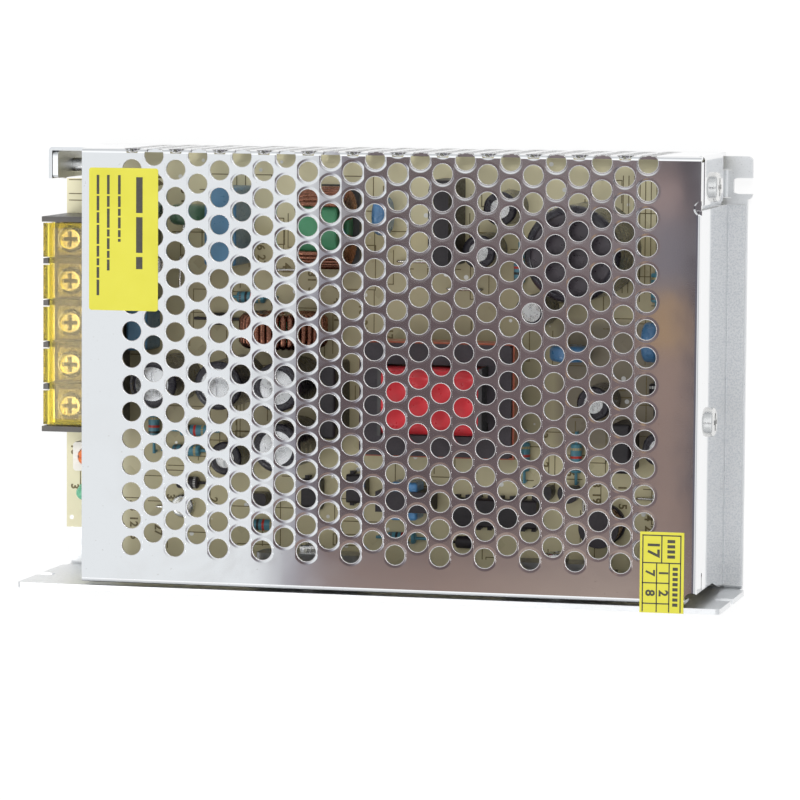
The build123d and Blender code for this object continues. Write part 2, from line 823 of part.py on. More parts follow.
thermistor_y_share = 0.74
thermistor_gap = 1.44
thermistor_diameter = 10.0
thermistor_thickness = 4.6
disc_lift = 2.0
x_capacitor_y_share = 0.69
x_capacitor_gap = 0.3
x_capacitor_size = (7.4, 17.6, 15.5)
thermistor_x = fuse_x + fuse_half + thermistor_gap + thermistor_diameter / 2
x_capacitor_x = thermistor_x + thermistor_diameter / 2 + x_capacitor_gap + x_capacitor_size[0] / 2
round_edge = 0.8


def disc_part(diameter, thickness):
    # A dipped disc that stands on two leads
    disc = rod_along_x(diameter, (-thickness / 2, thickness / 2), 0, disc_lift + diameter / 2)
    disc = fillet(disc.edges().filter_by(GeomType.CIRCLE), thickness / 3)
    for side in (-1, 1):
        lead = standing_block(lead_width, lead_width, disc_lift + diameter / 3)
        disc += Pos(0, side * diameter / 4, 0) * lead
    return disc


def thermistor():
    disc = disc_part(thermistor_diameter, thermistor_thickness)
    return by_block(thermistor_x, thermistor_y_share, Rot(0, 0, 90) * disc)


def box_part(size):
    body = standing_block(*size)
    return fillet(body.edges().group_by(Axis.Z)[-1] + body.edges().filter_by(Axis.Z), round_edge)


def x_capacitor():
    return by_block(x_capacitor_x, x_capacitor_y_share, box_part(x_capacitor_size))


line_choke_place_share = (-0.139, 0.69)
line_choke_outer = 16.0
line_choke_inner = 8.0
line_choke_thickness = 9.0
line_choke_base = 1.6
line_winding_wall = 1.4
line_winding_sweep = 110
line_winding_starts = (-145, 35)
line_winding_turns = 9
ring_edge = 0.6
groove_share = 0.5


def ring_core(outer, inner, thickness):
    ring = rod(outer, thickness) - Pos(0, 0, -overrun) * rod(inner, thickness + 2 * overrun)
    ring = fillet(ring.edges().filter_by(GeomType.CIRCLE), ring_edge)
    return Rot(0, 90, 0) * Pos(0, 0, -thickness / 2) * ring


def ring_winding(outer, inner, thickness, wall, start, sweep, turns):
    # A sleeve of wire round part of a ring, ribbed once for each turn
    low = inner / 2 - wall
    high = outer / 2 + wall
    section = Rectangle(high - low, thickness + 2 * wall) - Rectangle((outer - inner) / 2, thickness)
    section = fillet(section.vertices().group_by(SortBy.DISTANCE)[-1], wall)
    section = Plane.XZ * Pos((high + low) / 2, 0) * section
    sleeve = Rot(0, 0, start) * revolve(section, Axis.Z, sweep)
    groove_radius = wall * groove_share
    grooves = []
    for number in range(1, turns):
        angle = radians(start + number * sweep / turns)
        line = Pos(high * cos(angle), high * sin(angle), 0) * rod(2 * groove_radius, thickness + 4 * wall)
        grooves.append(Pos(0, 0, -thickness / 2 - 2 * wall) * line)
    return Rot(0, 90, 0) * (sleeve - grooves)


def line_choke_core():
    ring = ring_core(line_choke_outer, line_choke_inner, line_choke_thickness)
    lift = line_choke_base + line_choke_outer / 2
    return on_board(line_choke_place_share, Pos(0, 0, lift) * ring)


def line_choke_windings():
    lift = line_choke_base + line_choke_outer / 2
    windings = []
    for start in line_winding_starts:
        sizes = (line_choke_outer, line_choke_inner, line_choke_thickness, line_winding_wall)
        winding = ring_winding(*sizes, start, line_winding_sweep, line_winding_turns)
        windings.append(Pos(0, 0, lift) * winding)
    return on_board(line_choke_place_share, Compound(windings))


def line_choke_stand():
    length = line_choke_outer + 2 * line_winding_wall
    width = line_choke_thickness + 2 * line_winding_wall
    stand = standing_block(width, length, line_choke_base)
    return on_board(line_choke_place_share, stand)


bridge_place_share = (0.245, 0.73)
bridge_size = (4.6, 19.0, 17.0)
bridge_lift = 3.5
bridge_lead_pitch = 5.0
bridge_leads = 4


def bridge_rectifier():
    body = Pos(0, 0, bridge_lift) * standing_block(*bridge_size)
    body = chamfer(body.edges().filter_by(Axis.X).sort_by(Axis.Z)[-1:], bridge_size[0] / 2)
    for number in range(bridge_leads):
        y = (number - (bridge_leads - 1) / 2) * bridge_lead_pitch
        body += Pos(0, y, 0) * standing_block(lead_width, lead_width, bridge_lift)
    return on_board(bridge_place_share, body)


# Electrolytic capacitors: an aluminium can in a shrunk sleeve that folds over its rim
sleeve_wall = 0.25
sleeve_lip = 1.4
vent_depth = 0.3
vent_width = 0.5
bead_share = 0.1
bulk_place_share = (0.663, 0.6)
bulk_diameter = 21.5
bulk_top_gap = 3.2
bulk_size = (bulk_diameter, case_height - cover_sheet - board_top - bulk_top_gap)
output_place_shares = ((-0.247, -0.077), (-0.247, -0.373), (-0.432, -0.077), (-0.637, -0.077))
output_size = (11.0, 21.5)
small_place_shares = (
    (0.346, 0.59), (0.41, 0.8), (0.508, 0.304),
    (0.7, -0.13), (-0.44, -0.45), (0.9, -0.34),
)
small_size = (7.6, 13.0)


def capacitor_can(size):
    diameter = size[0] - 2 * sleeve_wall
    can = rod(diameter, size[1] - sleeve_wall)
    can = fillet(can.edges().group_by(Axis.Z)[-1], diameter * bead_share)
    mark = Pos(0, 0, size[1] - sleeve_wall - vent_depth) * standing_block(diameter / 2, vent_width, size[1])
    return can - mark - Rot(0, 0, 90) * mark


def capacitor_sleeve(size):
    diameter = size[0] - 2 * sleeve_wall
    outer = fillet(rod(size[0], size[1]).edges().group_by(Axis.Z)[-1], size[0] * bead_share)
    inner = fillet(rod(diameter, size[1] - sleeve_wall).edges().group_by(Axis.Z)[-1], diameter * bead_share)
    mouth = rod(diameter - 2 * sleeve_lip, size[1] + overrun)
    return outer - inner - mouth


def bulk_capacitor_can():
    return on_board(bulk_place_share, capacitor_can(bulk_size))


def bulk_capacitor_sleeve():
    return on_board(bulk_place_share, capacitor_sleeve(bulk_size))


def output_capacitor_cans():
    return Compound([on_board(share, capacitor_can(output_size)) for share in output_place_shares])


def output_capacitor_sleeves():
    return Compound([on_board(share, capacitor_sleeve(output_size)) for share in output_place_shares])


def small_capacitor_cans():
    return Compound([on_board(share, capacitor_can(small_size)) for share in small_place_shares])


def small_capacitor_sleeves():
    return Compound([on_board(share, capacitor_sleeve(small_size)) for share in small_place_shares])


# Main transformer: two ferrite halves on a taped bobbin, with tape round the core
core_place_share = (0.23, -0.126)
core_length = 34.6
core_width = 25.0
core_thickness = 10.0
core_yoke = 5.2
core_side = 4.6
core_leg = 9.0
core_tape = 0.4
core_tape_height = 7.0
bobbin_wall = 0.8
bobbin_gap = 0.25
winding_lift = 2.0
winding_top_gap = 6.2
winding_height = case_height - cover_sheet - board_top - winding_top_gap - winding_lift
core_lift = winding_lift + (winding_height - core_thickness) / 2
rail_length = 4.4
rail_height = 3.0
rail_pins = 5
tape_edge = 2.4
core_middle = core_lift + core_thickness / 2


def transformer_core():
    # Each half is an E: a yoke, two side legs and a middle leg that meets the other half
    z = (core_lift, core_lift + core_thickness)
    half = block((-core_length / 2, 0), (-core_width / 2, core_width / 2), z)
    window_end = core_yoke - core_length / 2
    for side in (-1, 1):
        window_y = sorted((side * core_leg / 2, side * (core_width / 2 - core_side)))
        half -= block((window_end, overrun), window_y, (z[0] - overrun, z[1] + overrun))
    half = chamfer(half.edges().filter_by(Axis.Z).sort_by(Axis.X)[:2], ring_edge)
    return on_board(core_place_share, Compound([half, mirror(half, Plane.YZ)]))


def transformer_bobbin():
    # A square tube over the middle leg with a flange and a pin rail at each end
    window = core_length - 2 * core_yoke - 2 * bobbin_gap
    tube_y = core_leg / 2 + bobbin_gap + bobbin_wall
    tube_z = core_thickness / 2 + bobbin_gap + bobbin_wall
    tube = block((-window / 2, window / 2), (-tube_y, tube_y), (core_middle - tube_z, core_middle + tube_z))
    flange_y = core_width / 2 - core_side - bobbin_gap
    for side in (-1, 1):
        flange_x = sorted((side * (window / 2 - bobbin_wall), side * window / 2))
        z = (core_middle - winding_height / 2, core_middle + winding_height / 2)
        tube += block(flange_x, (-flange_y, flange_y), z)
        rail_x = sorted((side * (window / 2 - bobbin_wall), side * (window / 2 + rail_length)))
        rail_z = (core_middle - winding_height / 2, core_lift - bobbin_gap)
        tube += block(rail_x, (-flange_y, flange_y), rail_z)
        for number in range(rail_pins):
            y = (number - (rail_pins - 1) / 2) * 2 * flange_y / rail_pins
            pin = standing_block(lead_width, lead_width, core_lift - bobbin_gap)
            tube += Pos(side * (window / 2 + rail_length / 2), y, 0) * pin
    bore_y = core_leg / 2 + bobbin_gap
    bore_z = core_thickness / 2 + bobbin_gap
    reach = window / 2 + overrun
    bore = block((-reach, reach), (-bore_y, bore_y), (core_middle - bore_z, core_middle + bore_z))
    return on_board(core_place_share, tube - bore)


def transformer_winding():
    window = core_length - 2 * core_yoke - 2 * bobbin_gap - 2 * bobbin_wall
    outer_y = core_width / 2 - core_side - 2 * bobbin_gap
    half_z = winding_height / 2 - bobbin_gap
    x_range = (-window / 2, window / 2)
    body = block(x_range, (-outer_y, outer_y), (core_middle - half_z, core_middle + half_z))
    body = fillet(body.edges().filter_by(Axis.X), tape_edge)
    tube_y = core_leg / 2 + bobbin_gap + bobbin_wall
    tube_z = core_thickness / 2 + bobbin_gap + bobbin_wall
    body -= block(x_range, (-tube_y, tube_y), (core_middle - tube_z, core_middle + tube_z))
    return on_board(core_place_share, body)


def transformer_core_band():
    low = core_middle - core_tape_height / 2
    outer = standing_block(core_length + 2 * core_tape, core_width + 2 * core_tape, core_tape_height)
    outer = Pos(0, 0, low) * outer
    inner = Pos(0, 0, low - overrun) * standing_block(core_length, core_width, core_tape_height + 2 * overrun)
    return on_board(core_place_share, outer - inner)


# Output choke: a wound ring that stands on its rim
output_choke_place_share = (-0.267, 0.185)
output_choke_outer = 17.0
output_choke_inner = 9.0
output_choke_thickness = 5.0
output_choke_wall = 1.6
output_choke_turns = 20
output_choke_sweep = 330
output_choke_start = 15


def output_choke_core():
    ring = ring_core(output_choke_outer, output_choke_inner, output_choke_thickness)
    lift = output_choke_wall + output_choke_outer / 2
    return on_board(output_choke_place_share, Pos(0, 0, lift) * Rot(0, 0, 90) * ring)


def output_choke_winding():
    sizes = (output_choke_outer, output_choke_inner, output_choke_thickness, output_choke_wall)
    winding = ring_winding(*sizes, output_choke_start, output_choke_sweep, output_choke_turns)
    lift = output_choke_wall + output_choke_outer / 2
    return on_board(output_choke_place_share, Pos(0, 0, lift) * Rot(0, 0, 90) * winding)


# Control side: small transformer, choke, chips and transistors
driver_place_share = (0.11, -0.64)
driver_core_size = (12.0, 4.6, 10.0)
driver_coil_size = (6.4, 8.6, 6.6)
driver_lift = 1.8
driver_window_lift = (driver_core_size[2] - driver_coil_size[2]) / 2
drum_place_share = (0.71, -0.74)
drum_diameter = 9.0
drum_height = 9.5
drum_flange = 1.4
drum_core_share = 0.5
drum_coil_share = 0.92
chip_place_share = (0.373, -0.7)
chip_size = (19.6, 6.4, 3.4)
chip_lift = 0.6
chip_pins = 8
chip_row = 7.62
chip_bevel_share = 0.12
opto_place_shares = ((-0.058, -0.6), (-0.2, -0.63))
opto_size = (4.6, 6.4, 3.4)
opto_pins = 2
small_transistor_place_shares = ((0.53, -0.58), (0.61, -0.58), (-0.36, -0.66), (0.9, -0.5))
small_transistor_diameter = 4.6
small_transistor_height = 4.6
small_transistor_lift = 3.0
small_transistor_flat_share = 0.3


def driver_core():
    core = Pos(0, 0, driver_lift) * standing_block(*driver_core_size)
    window = standing_block(driver_coil_size[0], driver_core_size[1] + overrun, driver_coil_size[2])
    return on_board(driver_place_share, core - Pos(0, 0, driver_lift + driver_window_lift) * window)


def driver_winding():
    coil = Pos(0, 0, driver_lift + driver_window_lift) * box_part(driver_coil_size)
    for side in (-1, 1):
        pin = standing_block(lead_width, lead_width, driver_lift + driver_window_lift)
        coil += Pos(0, side * driver_coil_size[1] / 3, 0) * pin
    return on_board(driver_place_share, coil)


def drum_core():
    core = rod(drum_diameter, drum_height)
    groove = rod(drum_diameter + overrun, drum_height - 2 * drum_flange)
    groove -= rod(drum_diameter * drum_core_share, drum_height)
    return on_board(drum_place_share, core - Pos(0, 0, drum_flange) * groove)


def drum_winding():
    height = drum_height - 2 * drum_flange
    bore = rod(drum_diameter * drum_core_share, height + 2 * overrun)
    coil = rod(drum_diameter * drum_coil_share, height) - Pos(0, 0, -overrun) * bore
    return on_board(drum_place_share, Pos(0, 0, drum_flange) * coil)


def chip(size, pins):
    # Moulded body with a row of bent legs down each long side
    body = Pos(0, 0, chip_lift) * standing_block(*size)
    body = chamfer(body.edges().filter_by(Axis.X), size[2] * chip_bevel_share)
    for number in range(pins):
        x = (number - (pins - 1) / 2) * lead_pitch
        for side in (-1, 1):
            reach = sorted((side * size[1] / 2, side * chip_row / 2))
            middle = chip_lift + size[2] / 2
            leg_x = (x - lead_thickness, x + lead_thickness)
            foot = sorted((side * (chip_row / 2 - lead_thickness), side * chip_row / 2))
            shoulder = (reach[0] - seat_gap, reach[1] + seat_gap)
            body += block(leg_x, shoulder, (middle - lead_thickness / 2, middle + lead_thickness / 2))
            body += block(leg_x, foot, (0, middle))
    return body


def controller_chip():
    return on_board(chip_place_share, chip(chip_size, chip_pins))


def optocouplers():
    return Compound([on_board(share, chip(opto_size, opto_pins)) for share in opto_place_shares])


def small_transistor():
    body = rod(small_transistor_diameter, small_transistor_height)
    flat = small_transistor_diameter * small_transistor_flat_share
    edge = small_transistor_diameter
    body -= block((-edge, edge), (flat, edge), (-overrun, small_transistor_height + overrun))
    body = Pos(0, 0, small_transistor_lift) * body
    for number in (-1, 0, 1):
        leg = standing_block(lead_thickness, lead_thickness, small_transistor_lift)
        body += Pos(number * lead_pitch / 2, 0, 0) * leg
    return body


def small_transistors():
    return Compound([on_board(share, small_transistor()) for share in small_transistor_place_shares])


# Axial parts lie along X or Y on bent leads
resistor_place_shares = (
    (-0.58, -0.34, 0), (-0.605, -0.44, 0), (-0.71, -0.33, 90), (-0.36, -0.8, 0), (0.08, -0.84, 0),
    (0.46, -0.42, 90), (0.62, -0.42, 90), (0.86, 0.42, 90), (-0.4, 0.33, 0), (0.44, 0.5, 90),
)
resistor_body = (2.6, 6.6)
diode_place_shares = ((0.86, -0.1, 90), (-0.6, -0.6, 0), (0.92, 0.02, 90), (-0.5, 0.22, 0), (0.285, -0.85, 0))
diode_body = (2.8, 5.2)
axial_span = 12.0
axial_lead = 0.7
axial_gap = 0.4


def axial_part(body):
    diameter, length = body
    axis = diameter / 2 + axial_gap
    part = fillet(rod_along_x(diameter, (-length / 2, length / 2), 0, axis).edges(), diameter / 5)
    part += rod_along_x(axial_lead, (-axial_span / 2, axial_span / 2), 0, axis)
    for side in (-1, 1):
        part += Pos(side * (axial_span - axial_lead) / 2, 0, 0) * rod(axial_lead, axis)
    return part


def axial_group(place_shares, body):
    part = axial_part(body)
    return Compound([on_board((x, y), Rot(0, 0, turn) * part) for x, y, turn in place_shares])


def resistors():
    return axial_group(resistor_place_shares, resistor_body)


def diodes():
    return axial_group(diode_place_shares, diode_body)


# Blue discs across the barrier, boxed film capacitors, and dipped ones at the output
disc_place_shares = ((0.03, 0.75, 0), (0.858, 0.163, 0), (0.61, 0.1, 90))
disc_size = (9.0, 3.6)
snubber_place_shares = ((-0.12, -0.153), (0.778, -0.348))
snubber_sizes = ((4.0, 17.0, 13.5), (4.6, 11.0, 11.5))
film_y_share = 0.195
film_gap = 2.2
film_size = (5.0, 12.0, 10.5)
film_x = block_back + film_gap + film_size[0] / 2


def disc_capacitors():
    disc = disc_part(*disc_size)
    return Compound([on_board((x, y), Rot(0, 0, turn) * disc) for x, y, turn in disc_place_shares])


def snubber_capacitors():
    pairs = zip(snubber_place_shares, snubber_sizes)
    return Compound([on_board(share, box_part(size)) for share, size in pairs])


def film_capacitor():
    return by_block(film_x, film_y_share, box_part(film_size))


# Paper labels: one flat on the cover, one folded over the joint of cover and wall
label_thickness = 0.1
top_label_length = 16.0
top_label_width = 31.7
top_label_setback = 1.7
top_label_inset = 4.35
seal_label_inset = 2.7
seal_label_length = 9.7
seal_label_width = 17.6
seal_label_drop = 8.0
label_corner = 0.6


def top_label():
    left = cover_left + top_label_setback
    back = half_width - top_label_inset
    y_range = (back - top_label_width, back)
    label = block((left, left + top_label_length), y_range, (case_height, case_height + label_thickness))
    return fillet(label.edges().filter_by(Axis.Z), label_corner)


def seal_label():
    right = cover_right - seal_label_inset
    x_range = (right - seal_label_length, right)
    outer = -half_width - label_thickness
    top = case_height + label_thickness
    label = block(x_range, (outer, seal_label_width - half_width), (case_height, top))
    return label + block(x_range, (outer, -half_width), (case_height - seal_label_drop, top))


nodes = (
    base_chassis,
    mesh_cover,
    cover_screws,
    insulation_sheet,
    board_standoffs,
    circuit_board,
    board_screws,
    terminal_block_body,
    terminal_plates,
    terminal_washers,
    terminal_screws,
    terminal_lid,
    trimmer_body,
    trimmer_rotor,
    indicator_led,
    fuse_tube,
    fuse_caps,
    fuse_clips,
    thermistor,
    x_capacitor,
    line_choke_core,
    line_choke_windings,
    line_choke_stand,
    bridge_rectifier,
    bulk_capacitor_can,
    bulk_capacitor_sleeve,
    transformer_core,
    transformer_bobbin,
    transformer_winding,
    transformer_core_band,
    output_rectifiers,
    switching_transistors,
    insulator_pads,
    clamp_bars,
    clamp_screws,
    output_choke_core,
    output_choke_winding,
    output_capacitor_cans,
    output_capacitor_sleeves,
    small_capacitor_cans,
    small_capacitor_sleeves,
    driver_core,
    driver_winding,
    drum_core,
    drum_winding,
    controller_chip,
    optocouplers,
    small_transistors,
    resistors,
    diodes,
    disc_capacitors,
    snubber_capacitors,
    film_capacitor,
    top_label,
    seal_label,
)

os.makedirs("parts", exist_ok=True)
for make in nodes:
    export_step(make(), f"parts/{make.__name__}.step")
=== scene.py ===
import math
import random

import bmesh
import bpy
from mathutils import Euler, Matrix, Vector


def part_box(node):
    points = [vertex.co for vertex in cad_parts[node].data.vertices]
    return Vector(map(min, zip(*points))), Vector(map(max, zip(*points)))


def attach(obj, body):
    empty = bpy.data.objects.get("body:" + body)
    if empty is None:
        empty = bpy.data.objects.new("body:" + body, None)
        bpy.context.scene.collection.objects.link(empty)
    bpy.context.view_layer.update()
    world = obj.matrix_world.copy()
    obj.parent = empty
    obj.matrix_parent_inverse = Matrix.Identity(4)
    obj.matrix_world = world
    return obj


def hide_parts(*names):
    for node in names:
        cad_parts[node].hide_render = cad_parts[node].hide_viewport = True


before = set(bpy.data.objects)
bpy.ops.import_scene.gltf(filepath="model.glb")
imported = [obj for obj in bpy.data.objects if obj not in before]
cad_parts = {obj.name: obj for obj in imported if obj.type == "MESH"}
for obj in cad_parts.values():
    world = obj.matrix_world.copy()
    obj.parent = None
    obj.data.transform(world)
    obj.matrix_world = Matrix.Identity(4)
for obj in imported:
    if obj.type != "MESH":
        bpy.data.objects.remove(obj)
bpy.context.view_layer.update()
print("frame loaded")

mm = 0.001

# Camera at the photograph's place, a little right of the case and above it
view = {
    "place": (0.23480, 0.07944, 0.97256),
    "turn": (-4.906, 13.651, 0.418),  # degrees, XYZ order
    "lens": 198.0,
    "sensor": 36.0,
    "near": 0.02,
    "far": 30.0,
}

camera = bpy.data.objects.new("camera", bpy.data.cameras.new("camera"))
camera.data.lens = view["lens"]
camera.data.sensor_width = view["sensor"]
camera.data.clip_start = view["near"]
camera.data.clip_end = view["far"]
camera.location = view["place"]
camera.rotation_euler = Euler([math.radians(a) for a in view["turn"]], "XYZ")
bpy.context.scene.collection.objects.link(camera)
bpy.context.scene.camera = camera
bpy.context.scene.view_settings.view_transform = "Standard"


class Val:
    # One socket of a node tree, so that sums can be written as sums

    def __init__(self, tree, socket=None):
        self.tree = tree
        self.socket = socket

    def node(self, kind, settings=None, inputs=None, out=0):
        made = self.tree.nodes.new(kind)
        for key, value in (settings or {}).items():
            setattr(made, key, value)
        for key, value in (inputs or {}).items():
            socket = made.inputs[key]
            if isinstance(value, Val):
                self.tree.links.new(value.socket, socket)
            else:
                socket.default_value = value
        return Val(self.tree, made.outputs[out] if len(made.outputs) else None)

    def math(self, operation, *values):
        return self.node("ShaderNodeMath", {"operation": operation}, dict(enumerate(values)))

    def apply(self, operation, *others):
        return self.math(operation, self, *others)

    def __add__(self, other):
        return self.math("ADD", self, other)

    def __sub__(self, other):
        return self.math("SUBTRACT", self, other)

    def __mul__(self, other):
        return self.math("MULTIPLY", self, other)

    def __truediv__(self, other):
        return self.math("DIVIDE", self, other)

    def __rsub__(self, other):
        return self.math("SUBTRACT", other, self)

    def __rtruediv__(self, other):
        return self.math("DIVIDE", other, self)

    __radd__ = __add__
    __rmul__ = __mul__

    def parts(self):
        return [self.node("ShaderNodeSeparateXYZ", {}, {0: self}, out=k) for k in range(3)]

    def atLeast(self, other):
        return self.math("MAXIMUM", self, other)

    def atMost(self, other):
        return self.math("MINIMUM", self, other)

    def ramp(self, low, high, start=0.0, end=1.0):
        values = {"Value": self, "From Min": low, "From Max": high, "To Min": start, "To Max": end}
        return self.node("ShaderNodeMapRange", {"interpolation_type": "SMOOTHSTEP"}, values)

    def fall(self, low, high):
        return self.ramp(low, high, 1.0, 0.0)

    def within(self, low, high, soft):
        return self.ramp(low - soft, low + soft) * self.fall(high - soft, high + soft)


def mixColour(mask, first, second):
    made = mask.tree.nodes.new("ShaderNodeMix")
    made.data_type = "RGBA"
    for index, value in ((0, mask), (6, first), (7, second)):
        if isinstance(value, Val):
            mask.tree.links.new(value.socket, made.inputs[index])
        else:
            made.inputs[index].default_value = value if index == 0 else (*value, 1.0)
    return Val(mask.tree, made.outputs[2])


# A white studio; one brown-grey card hangs where the right half of the cover mirrors it
studio = {
    "white": (0.935, 0.965, 0.99),
    "horizon": (0.50, 0.52, 0.55), "haze": (0.84, 0.86, 0.88), "zenith": (1.26, 1.28, 1.30),
    "hazeRise": (0.05, 0.55), "zenithRise": (0.70, 0.92),  # how far up a ray points, 1 being straight up
    "diffuse": (0.97, 0.99, 1.0), "diffuseStrength": 0.40,
}

# Places on the card are leans: how far a mirrored ray goes sideways for each step up.
# Two numbers are the ends of a fade, three are from, to and softness.
card = {
    "rise": (0.3, 0.5), "leastRise": 0.05,
    "edge": (-0.2755, -0.2672), "slantFrom": -0.085, "slant": 0.20, "end": (-0.168, -0.164),
    "span": (-0.170, -0.020, 0.012),
    "near": (0.130, 0.098, 0.104), "far": (0.205, 0.155, 0.160), "across": (-0.250, -0.180),
    "top": (0.165, 0.132, 0.134), "topFar": (0.255, 0.212, 0.220), "topFade": (-0.072, -0.048),
    "foot": (0.320, 0.232, 0.204), "footFar": (0.430, 0.345, 0.300), "footFade": (-0.136, -0.114),
    "violet": (0.30, 0.29, 0.35), "violetStart": (-0.2745, -0.2710), "violetEnd": (-0.2690, -0.2610),
    "margin": (0.345, 0.250, 0.215), "marginFade": (-0.1832, -0.1812),
    "dark": (0.085, 0.072, 0.085), "darkFade": (-0.1742, -0.1730),
    "patches": (
        # low and high lean in X, low and high lean in Y, softness, colour
        (-0.1830, -0.1735, -0.0625, -0.0460, 0.0012, (0.225, 0.210, 0.240)),
        (-0.1830, -0.1752, -0.0770, -0.0625, 0.0016, (0.430, 0.290, 0.175)),
        (-0.1850, -0.1700, -0.0460, -0.0400, 0.0014, (0.380, 0.285, 0.275)),
        (-0.1850, -0.1600, -0.0400, -0.0310, 0.0012, (0.165, 0.135, 0.140)),
    ),
    # what the whole top of the cover mirrors, and where that ends on the right
    "cover": (-0.36, -0.146, 0.014), "coverSpan": (-0.21, 0.01, 0.02), "coverEnd": (-0.166, -0.158),
    # a dark strip that runs on to the right shows in the end fold
    "side": (0.155, 0.145, 0.172), "strip": (-0.174, 0.62, 0.03), "stripSpan": (-0.150, -0.012, 0.010),
}


def makeWorld():
    world = bpy.data.worlds.new("studio")
    bpy.context.scene.world = world
    world.use_nodes = True
    world.node_tree.nodes.clear()
    w = Val(world.node_tree)
    dx, dy, dz = w.node("ShaderNodeTexCoord", out="Generated").parts()
    risen = dz.ramp(*card["rise"])
    leanX = dx / dz.atLeast(card["leastRise"])
    leanY = dy / dz.atLeast(card["leastRise"])
    edge = leanX - (leanY - card["slantFrom"]).atLeast(0.0) * card["slant"]
    inCard = edge.ramp(*card["edge"]) * leanX.fall(*card["end"]) * leanY.within(*card["span"]) * risen
    across = leanX.ramp(*card["across"])
    seen = mixColour(across, card["near"], card["far"])
    seen = mixColour(leanY.ramp(*card["topFade"]), seen, mixColour(across, card["top"], card["topFar"]))
    seen = mixColour(leanY.fall(*card["footFade"]), seen, mixColour(across, card["foot"], card["footFar"]))
    seen = mixColour(edge.ramp(*card["violetStart"]) * edge.fall(*card["violetEnd"]), seen, card["violet"])
    seen = mixColour(leanX.ramp(*card["marginFade"]), seen, card["margin"])
    for x0, x1, y0, y1, soft, colour in card["patches"]:
        seen = mixColour(leanX.within(x0, x1, soft) * leanY.within(y0, y1, soft), seen, colour)
    seen = mixColour(leanX.ramp(*card["darkFade"]), seen, card["dark"])
    seen = mixColour(inCard, studio["white"], seen)
    dome = mixColour(dz.ramp(*studio["hazeRise"]), studio["horizon"], studio["haze"])
    dome = mixColour(dz.ramp(*studio["zenithRise"]), dome, studio["zenith"])
    strip = dy.within(*card["stripSpan"]) * dx.within(*card["strip"]) * risen
    dome = mixColour(strip, dome, card["side"])
    overCover = leanX.within(*card["cover"]) * leanY.within(*card["coverSpan"]) * risen
    seen = mixColour(overCover * dx.fall(*card["coverEnd"]), dome, seen)
    toCamera = w.node("ShaderNodeLightPath", out="Is Camera Ray")
    toGlossy = w.node("ShaderNodeLightPath", out="Is Glossy Ray")
    toClear = w.node("ShaderNodeLightPath", out="Is Transmission Ray")
    cameraSky = w.node("ShaderNodeBackground", {}, {"Color": (1, 1, 1, 1), "Strength": 1.0})
    glossySky = w.node("ShaderNodeBackground", {}, {"Color": seen, "Strength": 1.0})
    diffuseSky = w.node("ShaderNodeBackground", {}, {
        "Color": (*studio["diffuse"], 1), "Strength": studio["diffuseStrength"]})
    sky = w.node("ShaderNodeMixShader", {}, {0: toGlossy, 1: diffuseSky, 2: glossySky})
    sky = w.node("ShaderNodeMixShader", {}, {0: toCamera.atLeast(toClear), 1: sky, 2: cameraSky})
    w.node("ShaderNodeOutputWorld", {}, {"Surface": sky})


lamps = {
    "topLamp": {"place": (0.02, 0.06, 1.5), "size": 1.0, "power": 17.0, "mirrored": False},
    "backLamp": {"place": (0.15, 0.9, 0.55), "size": 0.5, "power": 7.0, "mirrored": False},
    "sideLamp": {"place": (-0.9, -0.5, 1.2), "size": 0.6, "power": 5.0, "mirrored": True},
    "frontLamp": {"place": (0.5, -1.1, 0.7), "size": 0.6, "power": 4.0, "mirrored": False},
}
lampAim = (0.0, 0.0, 0.02)


def makeLamps():
    for name, lamp in lamps.items():
        light = bpy.data.lights.new(name, "AREA")
        light.size = lamp["size"]
        light.energy = lamp["power"]
        holder = bpy.data.objects.new(name, light)
        holder.location = lamp["place"]
        aim = Vector(lampAim) - holder.location
        holder.rotation_euler = aim.to_track_quat("-Z", "Y").to_euler()
        holder.visible_glossy = lamp["mirrored"]
        bpy.context.scene.collection.objects.link(holder)


def startMaterial(name):
    made = bpy.data.materials.new(name)
    made.use_nodes = True
    made.node_tree.nodes.clear()
    return made, Val(made.node_tree)


def closeMaterial(v, shader):
    v.node("ShaderNodeOutputMaterial", {}, {"Surface": shader})


floorLook = {
    "half": 4.0, "drop": 0.2 * mm, "colour": (0.86, 0.86, 0.86, 1.0),
    "glow": 1.0, "mirroredGlow": 1.02, "share": 0.8,  # the rest of the floor's look keeps the shadow
}


def makeFloor():
    half = floorLook["half"]
    corners = [(-half, -half, 0), (half, -half, 0), (half, half, 0), (-half, half, 0)]
    mesh = bpy.data.meshes.new("floor")
    mesh.from_pydata(corners, [], [(0, 1, 2, 3)])
    floor = bpy.data.objects.new("floor", mesh)
    floor.location = (0, 0, -floorLook["drop"])
    bpy.context.scene.collection.objects.link(floor)
    made, v = startMaterial("floorWhite")
    diffuse = v.node("ShaderNodeBsdfDiffuse", {}, {"Color": floorLook["colour"]})
    glow, mirrored = [
        v.node("ShaderNodeEmission", {}, {"Color": (1, 1, 1, 1), "Strength": floorLook[key]})
        for key in ("glow", "mirroredGlow")]
    toGlossy = v.node("ShaderNodeLightPath", out="Is Glossy Ray")
    seen = v.node("ShaderNodeLightPath", out="Is Camera Ray").atLeast(toGlossy)
    seen = seen.atLeast(v.node("ShaderNodeLightPath", out="Is Transmission Ray"))
    glow = v.node("ShaderNodeMixShader", {}, {0: toGlossy, 1: glow, 2: mirrored})
    glow = v.node("ShaderNodeMixShader", {}, {0: seen * floorLook["share"], 1: diffuse, 2: glow})
    closeMaterial(v, glow)
    mesh.materials.append(made)


makeWorld()
makeLamps()
makeFloor()
print("stage made")


# Shader helpers; every pattern reads Object coordinates, which are the row frame in metres
def objectPlace(v):
    return v.node("ShaderNodeTexCoord", out="Object")


